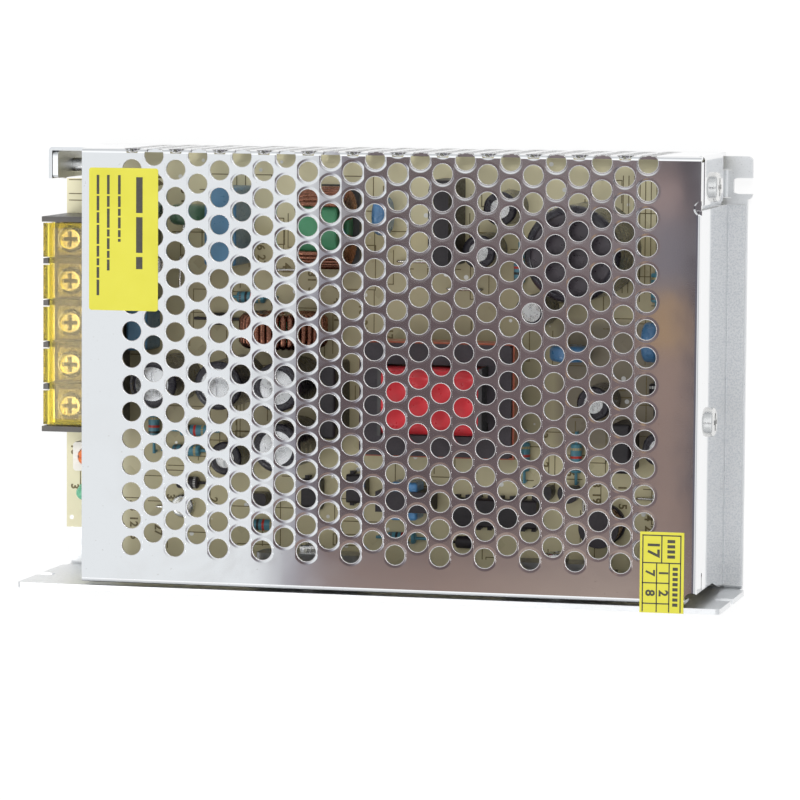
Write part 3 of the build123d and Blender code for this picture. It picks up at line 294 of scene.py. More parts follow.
def noise(v, scale, detail=2.0, rough=0.5, stretch=None, distort=0.0):
    place = objectPlace(v)
    if stretch:
        place = v.node("ShaderNodeMapping", {}, {"Vector": place, "Scale": stretch})
    values = {"Vector": place, "Scale": scale, "Detail": detail, "Roughness": rough, "Distortion": distort}
    return v.node("ShaderNodeTexNoise", {}, values)


def closeSurface(v, height, depth, **inputs):
    # A principled surface whose bump has this height over this depth
    names = {
        "colour": "Base Color", "metal": "Metallic", "rough": "Roughness", "coat": "Coat Weight",
        "coatRough": "Coat Roughness", "clear": "Transmission Weight", "ior": "IOR",
    }
    values = {names[key]: value for key, value in inputs.items()}
    values["Normal"] = v.node("ShaderNodeBump", {}, {"Height": height, "Distance": depth, "Strength": 1.0})
    closeMaterial(v, v.node("ShaderNodeBsdfPrincipled", {}, values))


def scaled(colour, factor):
    return tuple(min(1.0, c * factor) for c in colour)


noiseBand = (0.3, 0.7)  # the middle of a noise, where most of its values lie
plasticLook = {"blotch": 160.0, "smoother": 0.08, "rougher": 0.1, "coatRough": 0.12}
metalLook = {"cloud": 70.0, "grainBand": (0.25, 0.75), "smoother": 0.7, "rougher": 1.35}


def plasticMaterial(name, colour, rough=0.45, grain=1500.0, depth=0.03, vary=0.15, coat=0.0):
    made, v = startMaterial(name)
    blotch = noise(v, plasticLook["blotch"], 3.0).ramp(*noiseBand)
    tone = mixColour(blotch, scaled(colour, 1 - vary), scaled(colour, 1 + vary))
    skin = noise(v, grain, 2.0)
    roughness = skin.ramp(*noiseBand, rough - plasticLook["smoother"], rough + plasticLook["rougher"])
    closeSurface(
        v, skin, depth * mm, colour=tone, rough=roughness, coat=coat, coatRough=plasticLook["coatRough"])
    return made


def metalMaterial(name, colour, rough=0.28, grain=900.0, depth=0.02, vary=0.12):
    made, v = startMaterial(name)
    fine = noise(v, grain, 3.0, 0.6)
    cloud = noise(v, metalLook["cloud"], 2.0).ramp(*noiseBand)
    tone = mixColour(cloud, scaled(colour, 1 - vary), scaled(colour, 1 + vary / 2))
    roughness = fine.ramp(
        *metalLook["grainBand"], rough * metalLook["smoother"], rough * metalLook["rougher"])
    closeSurface(v, fine, depth * mm, colour=tone, metal=1.0, rough=roughness)
    return made


# The perforation of the cover and the lip round each hole.
# Rows count along the flat sheet, over the long fold.
perforation = {
    "Columns": 24,
    "Rows": 20,
    "First column": -53.075 * mm,
    "First row": -39.05 * mm,
    "Column spacing": 5.05 * mm,
    "Row pitch": 6.0 * mm,
    "Hole radius": 2.27 * mm,
    "Hole points": 24,
    "Lip radius": 0.105 * mm,
    "Lip sides": 5,
    "Fold start": 48.5 * mm,
    "Fold radius": 1.0 * mm,
    "Sheet top": 38.0 * mm,
    "Lip sink": 0.07 * mm,
    "Sink on fold": 0.5,
}

coverLook = {
    "bright": (0.82, 0.825, 0.83), "smeared": (0.79, 0.79, 0.79), "speck": (0.73, 0.725, 0.72),
    "waveSize": 17.0, "rippleSize": 80.0, "smearSize": 38.0, "speckSize": 1400.0, "gritSize": 2600.0,
    "smearBand": (0.5, 0.75), "speckBand": (0.74, 0.78), "gritBand": (0.40, 0.66),
    "waveDepth": 0.13 * mm, "rippleShare": 0.05, "gritShare": 0.12,
    "dishReach": 2.95 * mm, "dishDepth": 0.006 * mm, "dishFade": (37.5 * mm, 37.8 * mm),
    "rough": (0.034, 0.046), "smearRough": 0.03, "footRough": 0.45, "edgeRough": 0.6,
    # the foot of the end wall, etched and speckled
    "footFade": (74.65 * mm, 74.75 * mm), "footTop": (4.0 * mm, 5.0 * mm), "footDark": (0.66, 0.68, 0.70),
    # the end wall's sheared edge, which faces the rear ear; its near-white colour is partly a painted
    # highlight
    "edge": (0.95, 0.95, 0.95), "edgeSpan": (37.76 * mm, 37.84 * mm, 0.02 * mm),
    "edgeFade": (73.5 * mm, 73.6 * mm), "edgeTop": (37.0 * mm, 37.1 * mm),
}


def holeDistance(x, y):
    # How far a point of the sheet is from the middle of the nearest hole
    number = ((x - perforation["First column"]) / perforation["Column spacing"]).apply("ROUND")
    number = number.atLeast(0.0).atMost(perforation["Columns"] - 1)
    offX = x - perforation["First column"] - number * perforation["Column spacing"]
    y = y - perforation["First row"] - number.apply("MODULO", 2.0) * perforation["Row pitch"] / 2
    row = (y / perforation["Row pitch"]).apply("ROUND").atLeast(0.0)
    offY = y - row * perforation["Row pitch"]
    return (offX * offX + offY * offY).apply("SQRT")


def coverMaterial():
    # bright plated sheet, a little wavy and dished round each punched hole
    made, v = startMaterial("coverPlating")
    x, y, z = objectPlace(v).parts()
    wave = noise(v, coverLook["waveSize"], 1.0, 0.4)
    ripple = noise(v, coverLook["rippleSize"], 2.0, 0.5)
    smear = noise(v, coverLook["smearSize"], 4.0, 0.6, None, 0.6).ramp(*coverLook["smearBand"])
    speck = noise(v, coverLook["speckSize"], 1.0).ramp(*coverLook["speckBand"])
    grit = noise(v, coverLook["gritSize"], 3.0, 0.7)
    dish = holeDistance(x, y).ramp(perforation["Hole radius"], coverLook["dishReach"])
    dish = dish * z.ramp(*coverLook["dishFade"]) * coverLook["dishDepth"]
    foot = x.ramp(*coverLook["footFade"]) * z.fall(*coverLook["footTop"])
    edge = y.within(*coverLook["edgeSpan"]) * x.ramp(*coverLook["edgeFade"]) * z.fall(*coverLook["edgeTop"])
    height = wave + ripple * coverLook["rippleShare"] + foot * grit * coverLook["gritShare"]
    height = height * coverLook["waveDepth"] + dish
    tone = mixColour(smear, coverLook["bright"], coverLook["smeared"])
    tone = mixColour(speck, tone, coverLook["speck"])
    tone = mixColour(foot * grit.ramp(*coverLook["gritBand"]), tone, coverLook["footDark"])
    # partly painted highlight: the sheared edge is given a near-white, rougher tone
    tone = mixColour(edge, tone, coverLook["edge"])
    rough = ripple.ramp(*noiseBand, *coverLook["rough"]) + smear * coverLook["smearRough"]
    rough = rough + foot * coverLook["footRough"] + edge * coverLook["edgeRough"]
    closeSurface(v, height, 1.0, colour=tone, metal=1.0, rough=rough)
    return made


rimLook = {
    "bright": (0.74, 0.73, 0.72), "dull": (0.64, 0.63, 0.63), "shear": 1800.0, "shearBand": (0.35, 0.7),
    "rough": (0.22, 0.34), "depth": 0.02 * mm,
}


def rimMaterial():
    # the sheared edge of each punched hole: brighter than the sheet, with fine shear marks
    made, v = startMaterial("punchedRim")
    shear = noise(v, rimLook["shear"], 2.0, 0.6)
    tone = mixColour(shear.ramp(*rimLook["shearBand"]), rimLook["bright"], rimLook["dull"])
    rough = shear.ramp(*noiseBand, *rimLook["rough"])
    closeSurface(v, shear, rimLook["depth"], colour=tone, metal=1.0, rough=rough)
    return made


chassisLook = {
    "dull": (0.79, 0.80, 0.805), "bright": (0.85, 0.858, 0.862), "speck": (0.70, 0.706, 0.71),
    "cloud": 45.0, "grain": 2600.0, "speckBand": (0.58, 0.72),
    "scuff": 120.0, "scuffStretch": (0.25, 3.0, 3.0), "scuffBand": (0.55, 0.75), "scuffShine": 0.08,
    "rough": (0.32, 0.48), "depth": 0.03 * mm,
}


def chassisMaterial():
    # etched aluminium: matt with a fine speckle and faint scuffs
    made, v = startMaterial("chassisEtched")
    grain = noise(v, chassisLook["grain"], 2.0, 0.7)
    scuff = noise(v, chassisLook["scuff"], 4.0, 0.6, chassisLook["scuffStretch"])
    scuff = scuff.ramp(*chassisLook["scuffBand"]) * chassisLook["scuffShine"]
    cloud = noise(v, chassisLook["cloud"], 3.0).ramp(*noiseBand)
    tone = mixColour(cloud, chassisLook["dull"], chassisLook["bright"])
    tone = mixColour(grain.ramp(*chassisLook["speckBand"]), tone, chassisLook["speck"])
    rough = grain.ramp(*noiseBand, *chassisLook["rough"]) - scuff
    closeSurface(v, grain, chassisLook["depth"], colour=tone, metal=1.0, rough=rough)
    return made


boardLook = {
    "khaki": (0.44, 0.385, 0.225), "khakiPale": (0.52, 0.465, 0.285), "cloud": 60.0,
    "track": (0.38, 0.335, 0.19), "trackCells": 150.0, "cellRandom": 0.85, "trackBand": (0.27, 0.30),
    "trackShare": 0.5, "trackDepth": 0.04 * mm,
    "pad": (0.74, 0.74, 0.72), "padCells": 200.0, "padBand": (0.09, 0.12), "padMetal": 0.9,
    "weave": 1200.0, "rough": (0.34, 0.46),
    # painted shade: darker along the middle and in a patch at the right end, where the cover and the parts
    # above it shade the board
    "deep": (0.15, 0.125, 0.095), "shadedMiddle": (-17.0 * mm, 26.0 * mm, 4.0 * mm), "shadedMiddleShare": 0.34,
    "shadedPatchX": (37.0 * mm, 75.0 * mm, 3.0 * mm), "shadedPatchY": (-18.0 * mm, 12.0 * mm, 2.5 * mm),
    "shadedPatchShare": 0.85,
    # painted light: paler along both long edges, and palest in the strip that the cover leaves free, so the
    # board under the cover reads as painted shade
    "pale": (0.72, 0.68, 0.47), "paleBack": (29.0 * mm, 35.0 * mm), "paleBackShare": 0.55,
    "paleFront": (-24.0 * mm, -17.0 * mm), "paleFrontShare": 0.22,
    "strip": (0.66, 0.62, 0.43), "stripFade": (-65.0 * mm, -62.0 * mm),
}


def boardMaterial():
    # khaki laminate: masked tracks stand a little proud, drilled pads are tinned
    made, v = startMaterial("boardLaminate")
    x, y, z = objectPlace(v).parts()
    place = objectPlace(v)
    cells = v.node("ShaderNodeTexVoronoi", {"distance": "MANHATTAN", "feature": "F1"}, {
        "Vector": place, "Scale": boardLook["trackCells"], "Randomness": boardLook["cellRandom"]})
    track = cells.fall(*boardLook["trackBand"])
    dots = v.node("ShaderNodeTexVoronoi", {"feature": "F1"}, {
        "Vector": place, "Scale": boardLook["padCells"], "Randomness": 1.0})
    pad = dots.fall(*boardLook["padBand"])
    cloud = noise(v, boardLook["cloud"], 3.0).ramp(*noiseBand)
    shadedMiddle = y.within(*boardLook["shadedMiddle"]) * boardLook["shadedMiddleShare"]
    shadedPatch = x.within(*boardLook["shadedPatchX"]) * y.within(*boardLook["shadedPatchY"]) * boardLook["shadedPatchShare"]
    tone = mixColour(cloud, boardLook["khaki"], boardLook["khakiPale"])
    tone = mixColour(track * boardLook["trackShare"], tone, boardLook["track"])
    # painted shade: the middle band and the right-hand patch are darkened to stand in for shade
    tone = mixColour(shadedMiddle.atLeast(shadedPatch), tone, boardLook["deep"])
    # painted light: the board's tone rises towards both long edges
    tone = mixColour(y.ramp(*boardLook["paleBack"]) * boardLook["paleBackShare"], tone, boardLook["pale"])
    tone = mixColour(y.fall(*boardLook["paleFront"]) * boardLook["paleFrontShare"], tone, boardLook["pale"])
    # painted shade: the board under the cover is darker than the open strip at its left end
    tone = mixColour(x.ramp(*boardLook["stripFade"]), boardLook["strip"], tone)
    tone = mixColour(pad, tone, boardLook["pad"])
    rough = noise(v, boardLook["weave"], 2.0).ramp(*noiseBand, *boardLook["rough"])
    metal = pad * boardLook["padMetal"]
    closeSurface(v, track, boardLook["trackDepth"], colour=tone, metal=metal, rough=rough)
    return made


paperLook = {
    "deep": (0.465, 0.435, 0.036), "pale": (0.495, 0.465, 0.046), "fibre": 900.0, "cloud": 90.0,
    "rough": (0.42, 0.54), "depth": 0.01 * mm,
}


def paperMaterial():
    made, v = startMaterial("labelYellow")
    fibre = noise(v, paperLook["fibre"], 4.0, 0.6)
    cloud = noise(v, paperLook["cloud"], 2.0).ramp(*noiseBand)
    tone = mixColour(cloud, paperLook["deep"], paperLook["pale"])
    rough = fibre.ramp(*noiseBand, *paperLook["rough"])
    closeSurface(v, fibre, paperLook["depth"], colour=tone, rough=rough)
    return made


inkLook = {"grain": 2400.0, "fadeBand": (0.4, 0.75), "fade": 1.8, "rough": (0.45, 0.6), "depth": 0.005 * mm}


def inkMaterial(name, colour):
    made, v = startMaterial(name)
    grain = noise(v, inkLook["grain"], 3.0, 0.7)
    tone = mixColour(grain.ramp(*inkLook["fadeBand"]), colour, scaled(colour, inkLook["fade"]))
    closeSurface(v, grain, inkLook["depth"], colour=tone, rough=grain.ramp(*noiseBand, *inkLook["rough"]))
    return made


clearLook = {"flow": 200.0, "rougher": 0.06, "depth": 0.02 * mm, "ior": 1.5}


def clearMaterial(name, dark, pale, clear, rough):
    made, v = startMaterial(name)
    flow = noise(v, clearLook["flow"], 2.0)
    tone = mixColour(flow.ramp(*noiseBand), dark, pale)
    roughness = flow.ramp(*noiseBand, rough, rough + clearLook["rougher"])
    closeSurface(v, flow, clearLook["depth"], colour=tone, clear=clear, ior=clearLook["ior"], rough=roughness)
    return made


lidLook = {
    "amber": (0.76, 0.64, 0.36), "amberPale": (0.82, 0.71, 0.43), "rim": (0.82, 0.69, 0.10),
    "noseRim": (2.0 * mm, 2.5 * mm), "endRim": (1.9 * mm, 2.4 * mm), "flow": 120.0,
    "clear": 0.88, "ior": 1.49, "rough": (0.03, 0.06), "depth": 0.004 * mm,
}


def lidMaterial():
    # clear amber; its moulded rim is thicker and shows a fuller yellow
    made, v = startMaterial("lidAmber")
    x, y, z = objectPlace(v).parts()
    low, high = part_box("terminal_lid")
    inner, outer = lidLook["endRim"]
    rim = x.fall(*[low.x + width for width in lidLook["noseRim"]])
    rim = rim.atLeast(y.ramp(high.y - outer, high.y - inner))
    rim = rim.atLeast(y.fall(low.y + inner, low.y + outer))
    flow = noise(v, lidLook["flow"], 2.0)
    tone = mixColour(flow.ramp(*noiseBand), lidLook["amber"], lidLook["amberPale"])
    tone = mixColour(rim, tone, lidLook["rim"])
    rough = flow.ramp(*noiseBand, *lidLook["rough"])
    closeSurface(
        v, flow, lidLook["depth"], colour=tone, clear=lidLook["clear"], ior=lidLook["ior"], rough=rough)
    return made


# Plain finishes: the nodes that have each one, and its look
metals = {
    "screwZinc": {
        "on": "cover_screws board_screws clamp_screws", "colour": (0.80, 0.80, 0.79), "rough": 0.24,
        "grain": 1600.0},
    "screwPassivated": {
        "on": "terminal_screws", "colour": (0.78, 0.76, 0.56), "rough": 0.22, "grain": 1500.0},
    # painted shade: the washers and plates under the lid get a dark colour that stands in for the shade there
    "washerPassivated": {
        "on": "terminal_washers", "colour": (0.27, 0.25, 0.18), "rough": 0.30, "grain": 1500.0},
    "plateDull": {"on": "terminal_plates", "colour": (0.30, 0.26, 0.20), "rough": 0.42, "grain": 1300.0},
    "contactTin": {
        "on": "fuse_caps fuse_clips", "colour": (0.78, 0.76, 0.72), "rough": 0.22, "grain": 1200.0},
    "brassPlain": {"on": "board_standoffs", "colour": (0.80, 0.63, 0.30), "rough": 0.26, "grain": 1400.0},
    "canDrawn": {
        "on": "output_capacitor_cans small_capacitor_cans", "colour": (0.84, 0.85, 0.86), "rough": 0.26,
        "grain": 500.0, "depth": 0.002},
    "clampPlate": {"on": "clamp_bars", "colour": (0.42, 0.42, 0.43), "rough": 0.4, "grain": 1500.0},
    "wireEnamel": {
        "on": "line_choke_windings output_choke_winding drum_winding", "colour": (0.33, 0.15, 0.10),
        "rough": 0.26, "grain": 800.0},
}
plastics = {
    "deviceEpoxy": {
        "on": "bridge_rectifier output_rectifiers switching_transistors controller_chip optocouplers "
              "small_transistors snubber_capacitors diodes",
        "colour": (0.020, 0.017, 0.020), "rough": 0.42},
    "sleeveDark": {
        "on": "bulk_capacitor_sleeve output_capacitor_sleeves small_capacitor_sleeves",
        "colour": (0.018, 0.016, 0.022), "rough": 0.28, "grain": 700.0, "coat": 0.3},
    # painted reflection: the bulk capacitor's aluminium can gets a dark plastic look that stands in for the
    # dark cover it mirrors
    "capDisc": {
        "on": "bulk_capacitor_can", "colour": (0.024, 0.019, 0.024), "rough": 0.34, "grain": 900.0,
        "coat": 0.2},
    "blockMoulding": {"on": "terminal_block_body", "colour": (0.075, 0.070, 0.066), "rough": 0.4},
    "sheetFilm": {"on": "insulation_sheet", "colour": (0.70, 0.68, 0.58), "rough": 0.4},
    "trimmerMoulding": {"on": "trimmer_body", "colour": (0.74, 0.72, 0.66), "rough": 0.35},
    "rotorMoulding": {"on": "trimmer_rotor", "colour": (0.66, 0.17, 0.04), "rough": 0.35},
    "dippedGreen": {
        "on": "thermistor", "colour": (0.06, 0.12, 0.07), "rough": 0.3, "grain": 500.0, "coat": 0.4},
    "filmBlue": {
        "on": "x_capacitor film_capacitor", "colour": (0.065, 0.16, 0.26), "rough": 0.35, "grain": 900.0,
        "coat": 0.2},
    "discBlue": {
        "on": "disc_capacitors", "colour": (0.075, 0.19, 0.36), "rough": 0.3, "grain": 500.0, "coat": 0.5},
    "coreGreen": {
        "on": "line_choke_core output_choke_core", "colour": (0.05, 0.20, 0.10), "rough": 0.4,
        "grain": 900.0},
    "ferriteGrey": {
        "on": "transformer_core drum_core driver_core", "colour": (0.032, 0.027, 0.032), "rough": 0.5,
        "grain": 2200.0},
    "standMoulding": {
        "on": "line_choke_stand transformer_bobbin", "colour": (0.05, 0.05, 0.05), "rough": 0.45},
    "tapeRed": {
        "on": "transformer_winding", "colour": (0.50, 0.020, 0.030), "rough": 0.35, "grain": 700.0,
        "coat": 0.25},
    "tapeBrown": {
        "on": "transformer_core_band", "colour": (0.36, 0.10, 0.06), "rough": 0.38, "grain": 700.0,
        "coat": 0.2},
    "tapeBlue": {
        "on": "driver_winding", "colour": (0.10, 0.30, 0.60), "rough": 0.35, "grain": 700.0, "coat": 0.25},
    "padGrey": {"on": "insulator_pads", "colour": (0.36, 0.36, 0.34), "rough": 0.6},
    "resistorLacquer": {"on": "resistors", "colour": (0.07, 0.21, 0.27), "rough": 0.4, "coat": 0.2},
}
clears = {
    "fuseGlass": {
        "on": "fuse_tube", "dark": (0.90, 0.94, 0.93), "pale": (0.95, 0.97, 0.96), "clear": 1.0,
        "rough": 0.0},
    "lampEpoxy": {
        "on": "indicator_led", "dark": (0.22, 0.66, 0.42), "pale": (0.34, 0.80, 0.56), "clear": 0.45,
        "rough": 0.12},
}


def fillMaterials():
    made = {
        "base_chassis": chassisMaterial(), "mesh_cover": coverMaterial(), "circuit_board": boardMaterial(),
        "top_label": paperMaterial(), "terminal_lid": lidMaterial(),
    }
    made["seal_label"] = made["top_label"]
    for maker, finishes in ((metalMaterial, metals), (plasticMaterial, plastics), (clearMaterial, clears)):
        for name, finish in finishes.items():
            material = maker(name, **{key: value for key, value in finish.items() if key != "on"})
            made.update({node: material for node in finish["on"].split()})
    return made


looks = fillMaterials()
for name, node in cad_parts.items():
    node.data.materials.clear()
    node.data.materials.append(looks[name])
print("materials made")


# Geometry Nodes helpers
def startTree(name, numbers):
    # A tree with one named input for each size; returns the inputs as values
    tree = bpy.data.node_groups.new(name, "GeometryNodeTree")
    kinds = {float: "NodeSocketFloat", int: "NodeSocketInt"}
    sockets = {}
    for label, value in numbers.items():
        socket = tree.interface.new_socket(label, in_out="INPUT", socket_type=kinds[type(value)])
        socket.default_value = value
        sockets[label] = socket.identifier
    tree.interface.new_socket("Geometry", in_out="OUTPUT", socket_type="NodeSocketGeometry")
    g = Val(tree)
    given = tree.nodes.new("NodeGroupInput")
    values = {label: Val(tree, given.outputs[label]) for label in numbers}
    return g, values, sockets


def closeTree(g, made, material):
    made = g.node("GeometryNodeRealizeInstances", {}, {0: made})
    made = g.node("GeometryNodeSetShadeSmooth", {}, {0: made})
    made = g.node("GeometryNodeSetMaterial", {}, {"Geometry": made, "Material": material})
    g.node("NodeGroupOutput", {}, {0: made})


def circle(g, points, radius):
    return g.node("GeometryNodeCurvePrimitiveCircle", {}, {"Resolution": points, "Radius": radius})


def wireAlong(g, path, sides, radius):
    return g.node("GeometryNodeCurveToMesh", {}, {0: path, 1: circle(g, sides, radius)})


def combine(g, x=0.0, y=0.0, z=0.0):
    return g.node("ShaderNodeCombineXYZ", {}, {0: x, 1: y, 2: z})


def plainMesh(holder):
    bpy.context.view_layer.update()
    return bpy.data.meshes.new_from_object(holder.evaluated_get(bpy.context.evaluated_depsgraph_get()))


def grown(name, g, sockets, numbers, body, slotName, *stoodFor):
    # The tree's result as a plain mesh piece that rides on a body
    seed = bpy.data.objects.new(name + "Seed", bpy.data.meshes.new(name + "Seed"))
    bpy.context.scene.collection.objects.link(seed)
    modifier = seed.modifiers.new("grow", "NODES")
    modifier.node_group = g.tree
    for label, value in numbers.items():
        modifier[sockets[label]] = value
    mesh = plainMesh(seed)
    seed.modifiers.remove(modifier)
    bpy.data.objects.remove(seed)
    settle(name, mesh, body, slotName, *stoodFor)


def settle(name, mesh, body, slotName, *stoodFor):
    mesh.name = name
    piece = bpy.data.objects.new(name, mesh)
    bpy.context.scene.collection.objects.link(piece)
    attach(piece, body)
    if stoodFor:
        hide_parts(*stoodFor)
    print(name, len(mesh.polygons), "faces")
    return piece


def holeRims():
    g, given, sockets = startTree("holeRims", perforation)
    columns, rows = given["Columns"], given["Rows"]
    grid = g.node("GeometryNodeMeshGrid", {}, {
        "Size X": (columns - 1) * given["Column spacing"], "Size Y": (rows - 1) * given["Row pitch"],
        "Vertices X": columns, "Vertices Y": rows})
    x, y, z = g.node("GeometryNodeInputPosition").parts()
    x = x + (columns - 1) * given["Column spacing"] / 2
    y = y + (rows - 1) * given["Row pitch"] / 2
    number = (x / given["Column spacing"]).apply("ROUND")
    shifted = y + number.apply("MODULO", 2.0) * given["Row pitch"] / 2
    points = g.node("GeometryNodeSetPosition", {}, {
        "Geometry": grid, "Position": combine(g, x + given["First column"], shifted + given["First row"])})
    edge = circle(g, given["Hole points"], given["Hole radius"])
    lip = wireAlong(g, edge, given["Lip sides"], given["Lip radius"])
    lips = g.node("GeometryNodeInstanceOnPoints", {}, {"Points": points, "Instance": lip})
    lips = g.node("GeometryNodeRealizeInstances", {}, {0: lips})
    x, y, z = g.node("GeometryNodeInputPosition").parts()
    bend = given["Fold radius"]
    angle = ((y - given["Fold start"]) / bend).atLeast(0.0).atMost(math.pi / 2)
    reach = bend + z - given["Lip sink"] * (1.0 + angle * given["Sink on fold"])
    drop = (y - given["Fold start"] - bend * (math.pi / 2)).atLeast(0.0)
    foldedY = y.atMost(given["Fold start"]) + angle.apply("SINE") * reach
    foldedZ = given["Sheet top"] - bend + angle.apply("COSINE") * reach - drop
    lips = g.node("GeometryNodeSetPosition", {}, {
        "Geometry": lips, "Position": combine(g, x, foldedY, foldedZ)})
    closeTree(g, lips, rimMaterial())
    grown("holeRims", g, sockets, perforation, "body", "cover_steel")


# One turn of wire is a rounded loop; a wound ring is that loop set round a circle
turnShape = {"corner": 0.8 * mm, "loopPoints": 28, "wireSides": 7, "slack": 0.94}
rings = {
    "line": {"outer": 16.0, "inner": 8.0, "thickness": 9.0, "wall": 1.4, "core": "line_choke_core"},
    "output": {"outer": 17.0, "inner": 9.0, "thickness": 5.0, "wall": 1.6, "core": "output_choke_core"},
}
chokes = {
    "lineChokeTurnsA": {
        "ring": "line", "replaces": ["line_choke_windings"],
        "inputs": {"Turns": 13, "Start": -145.0, "Sweep": 110.0, "Turned": 0.0}},
    "lineChokeTurnsB": {
        "ring": "line", "replaces": [],
        "inputs": {"Turns": 13, "Start": 35.0, "Sweep": 110.0, "Turned": 0.0}},
    "outputChokeTurns": {
        "ring": "output", "replaces": ["output_choke_winding"],
        "inputs": {"Turns": 34, "Start": 15.0, "Sweep": 330.0, "Turned": 90.0}},
}


def windingTree(material):
    degree = math.pi / 180
    numbers = {
        "Turns": 10, "Start": 0.0, "Sweep": 90.0, "Turned": 0.0,
        "Loop width": 6.0 * mm, "Loop height": 10.0 * mm, "Loop middle": 6.0 * mm, "Wire radius": 0.6 * mm,
        "X": 0.0, "Y": 0.0, "Z": 0.0,
    }
    g, given, sockets = startTree("ringWinding", numbers)
    loop = g.node("GeometryNodeCurvePrimitiveQuadrilateral", {}, {
        "Width": given["Loop width"], "Height": given["Loop height"]})
    loop = g.node("GeometryNodeFilletCurve", {}, {
        "Curve": loop, "Radius": turnShape["corner"], "Limit Radius": True})
    loop = g.node("GeometryNodeResampleCurve", {}, {"Curve": loop, "Count": turnShape["loopPoints"]})
    loop = g.node("GeometryNodeTransform", {}, {"Geometry": loop, "Rotation": (math.pi / 2, 0.0, 0.0)})
    loop = g.node("GeometryNodeTransform", {}, {
        "Geometry": loop, "Translation": combine(g, given["Loop middle"])})
    turn = wireAlong(g, loop, turnShape["wireSides"], given["Wire radius"])
    points = g.node("GeometryNodeMeshLine", {}, {"Count": given["Turns"], "Offset": (0.0, 0.0, 0.0)})
    index = g.node("GeometryNodeInputIndex")
    angle = (given["Start"] + (index + 0.5) * given["Sweep"] / given["Turns"]) * degree
    turns = g.node("GeometryNodeInstanceOnPoints", {}, {
        "Points": points, "Instance": turn, "Rotation": combine(g, 0.0, 0.0, angle)})
    turns = g.node("GeometryNodeTransform", {}, {
        "Geometry": turns, "Rotation": combine(g, 0.0, math.pi / 2, given["Turned"] * degree),
        "Translation": combine(g, given["X"], given["Y"], given["Z"])})
    closeTree(g, turns, material)
    return g, sockets


def woundChokes():
    g, sockets = windingTree(looks["line_choke_windings"])
    for name, choke in chokes.items():
        ring = rings[choke["ring"]]
        low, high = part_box(ring["core"])
        middle = (low + high) / 2
        numbers = dict(choke["inputs"])
        numbers["Loop width"] = ((ring["outer"] - ring["inner"]) / 2 + ring["wall"]) * mm
        numbers["Loop height"] = (ring["thickness"] + ring["wall"]) * mm
        numbers["Loop middle"] = (ring["outer"] + ring["inner"]) / 4 * mm
        numbers["Wire radius"] = ring["wall"] / 2 * turnShape["slack"] * mm
        numbers.update({"X": middle.x, "Y": middle.y, "Z": middle.z})
        grown(name, g, sockets, numbers, "body", "enamel_copper", *choke["replaces"])


drum = {
    "Turns": 9, "Ring radius": 3.75 * mm, "Ring points": 40, "Wire radius": 0.37 * mm, "Wire sides": 8,
    "Step": 0.74 * mm, "X": 0.0, "Y": 0.0, "Z": 0.0,
}


def drumTurns():
    # Wire laid side by side round the drum choke's waist
    low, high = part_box("drum_winding")
    middle = (low + high) / 2
    numbers = dict(drum)
    numbers.update({"X": middle.x, "Y": middle.y, "Z": low.z + drum["Wire radius"]})
    g, given, sockets = startTree("drumTurns", numbers)
    ring = circle(g, given["Ring points"], given["Ring radius"])
    turn = wireAlong(g, ring, given["Wire sides"], given["Wire radius"])
    start = combine(g, given["X"], given["Y"], given["Z"])
    points = g.node("GeometryNodeMeshLine", {}, {
        "Count": given["Turns"], "Start Location": start, "Offset": combine(g, 0.0, 0.0, given["Step"])})
    turns = g.node("GeometryNodeInstanceOnPoints", {}, {"Points": points, "Instance": turn})
    closeTree(g, turns, looks["drum_winding"])
    grown("drumTurns", g, sockets, numbers, "body", "enamel_copper")


# Mesh helpers for flat print, bands and wires
weld = 0.001 * mm


def addBox(bm, low, high):
    corners = [(x, y, z) for x in (low[0], high[0]) for y in (low[1], high[1]) for z in (low[2], high[2])]
    made = [bm.verts.new([value * mm for value in corner]) for corner in corners]
    for face in ((0, 1, 3, 2), (4, 6, 7, 5), (0, 4, 5, 1), (2, 3, 7, 6), (0, 2, 6, 4), (1, 5, 7, 3)):
        bm.faces.new([made[k] for k in face])


def meshOf(name, bm, material):
    bmesh.ops.recalc_face_normals(bm, faces=bm.faces)
    mesh = bpy.data.meshes.new(name)
    bm.to_mesh(mesh)
    bm.free()
    mesh.materials.append(material)
    return mesh


def joinRings(bm, rings):
    # Skins a row of rings of equal count and closes both its ends
    for first, second in zip(rings, rings[1:]):
        for k in range(len(first)):
            after = (k + 1) % len(first)
            bm.faces.new((first[k], first[after], second[after], second[k]))
    for ring in (rings[0], rings[-1]):
        bm.faces.new(ring)


def laid(name, bm, material, slotName, *stoodFor):
    return settle(name, meshOf(name, bm, material), "body", slotName, *stoodFor)


figure = {"roundness": 3, "boldness": 0.032, "turn": -90}


def addText(bm, text, size, place):
    # Plain figures, filled flat, laid at a place on a level surface; sizes in mm
    curve = bpy.data.curves.new("figures", "FONT")
    curve.body = text
    curve.size = size * mm
    curve.align_x = "CENTER"
    curve.align_y = "CENTER"
    curve.resolution_u = figure["roundness"]
    curve.offset = figure["boldness"] * size * mm
    holder = bpy.data.objects.new("figures", curve)
    bpy.context.scene.collection.objects.link(holder)
    mesh = plainMesh(holder)
    turn = Matrix.Rotation(math.radians(figure["turn"]), 4, "Z")
    mesh.transform(Matrix.Translation([value * mm for value in place]) @ turn)
    bm.from_mesh(mesh)
    bpy.data.objects.remove(holder)
    bpy.data.curves.remove(curve)
    bpy.data.meshes.remove(mesh)


def looseBoxes(node):
    # Lowest and highest corner of each separate solid of a CAD node, in mm
    bm = bmesh.new()
    bm.from_mesh(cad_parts[node].data)
    bmesh.ops.remove_doubles(bm, verts=bm.verts, dist=weld)
    boxes = []
    left = set(bm.verts)
    while left:
        group = [left.pop()]
        for vert in group:
            for edge in vert.link_edges:
                other = edge.other_vert(vert)
                if other in left:
                    left.remove(other)
                    group.append(other)
        low = [min(vert.co[k] for vert in group) / mm for k in range(3)]
        high = [max(vert.co[k] for vert in group) / mm for k in range(3)]
        boxes.append((low, high))
    bm.free()
    return sorted(boxes)


print("helpers made")


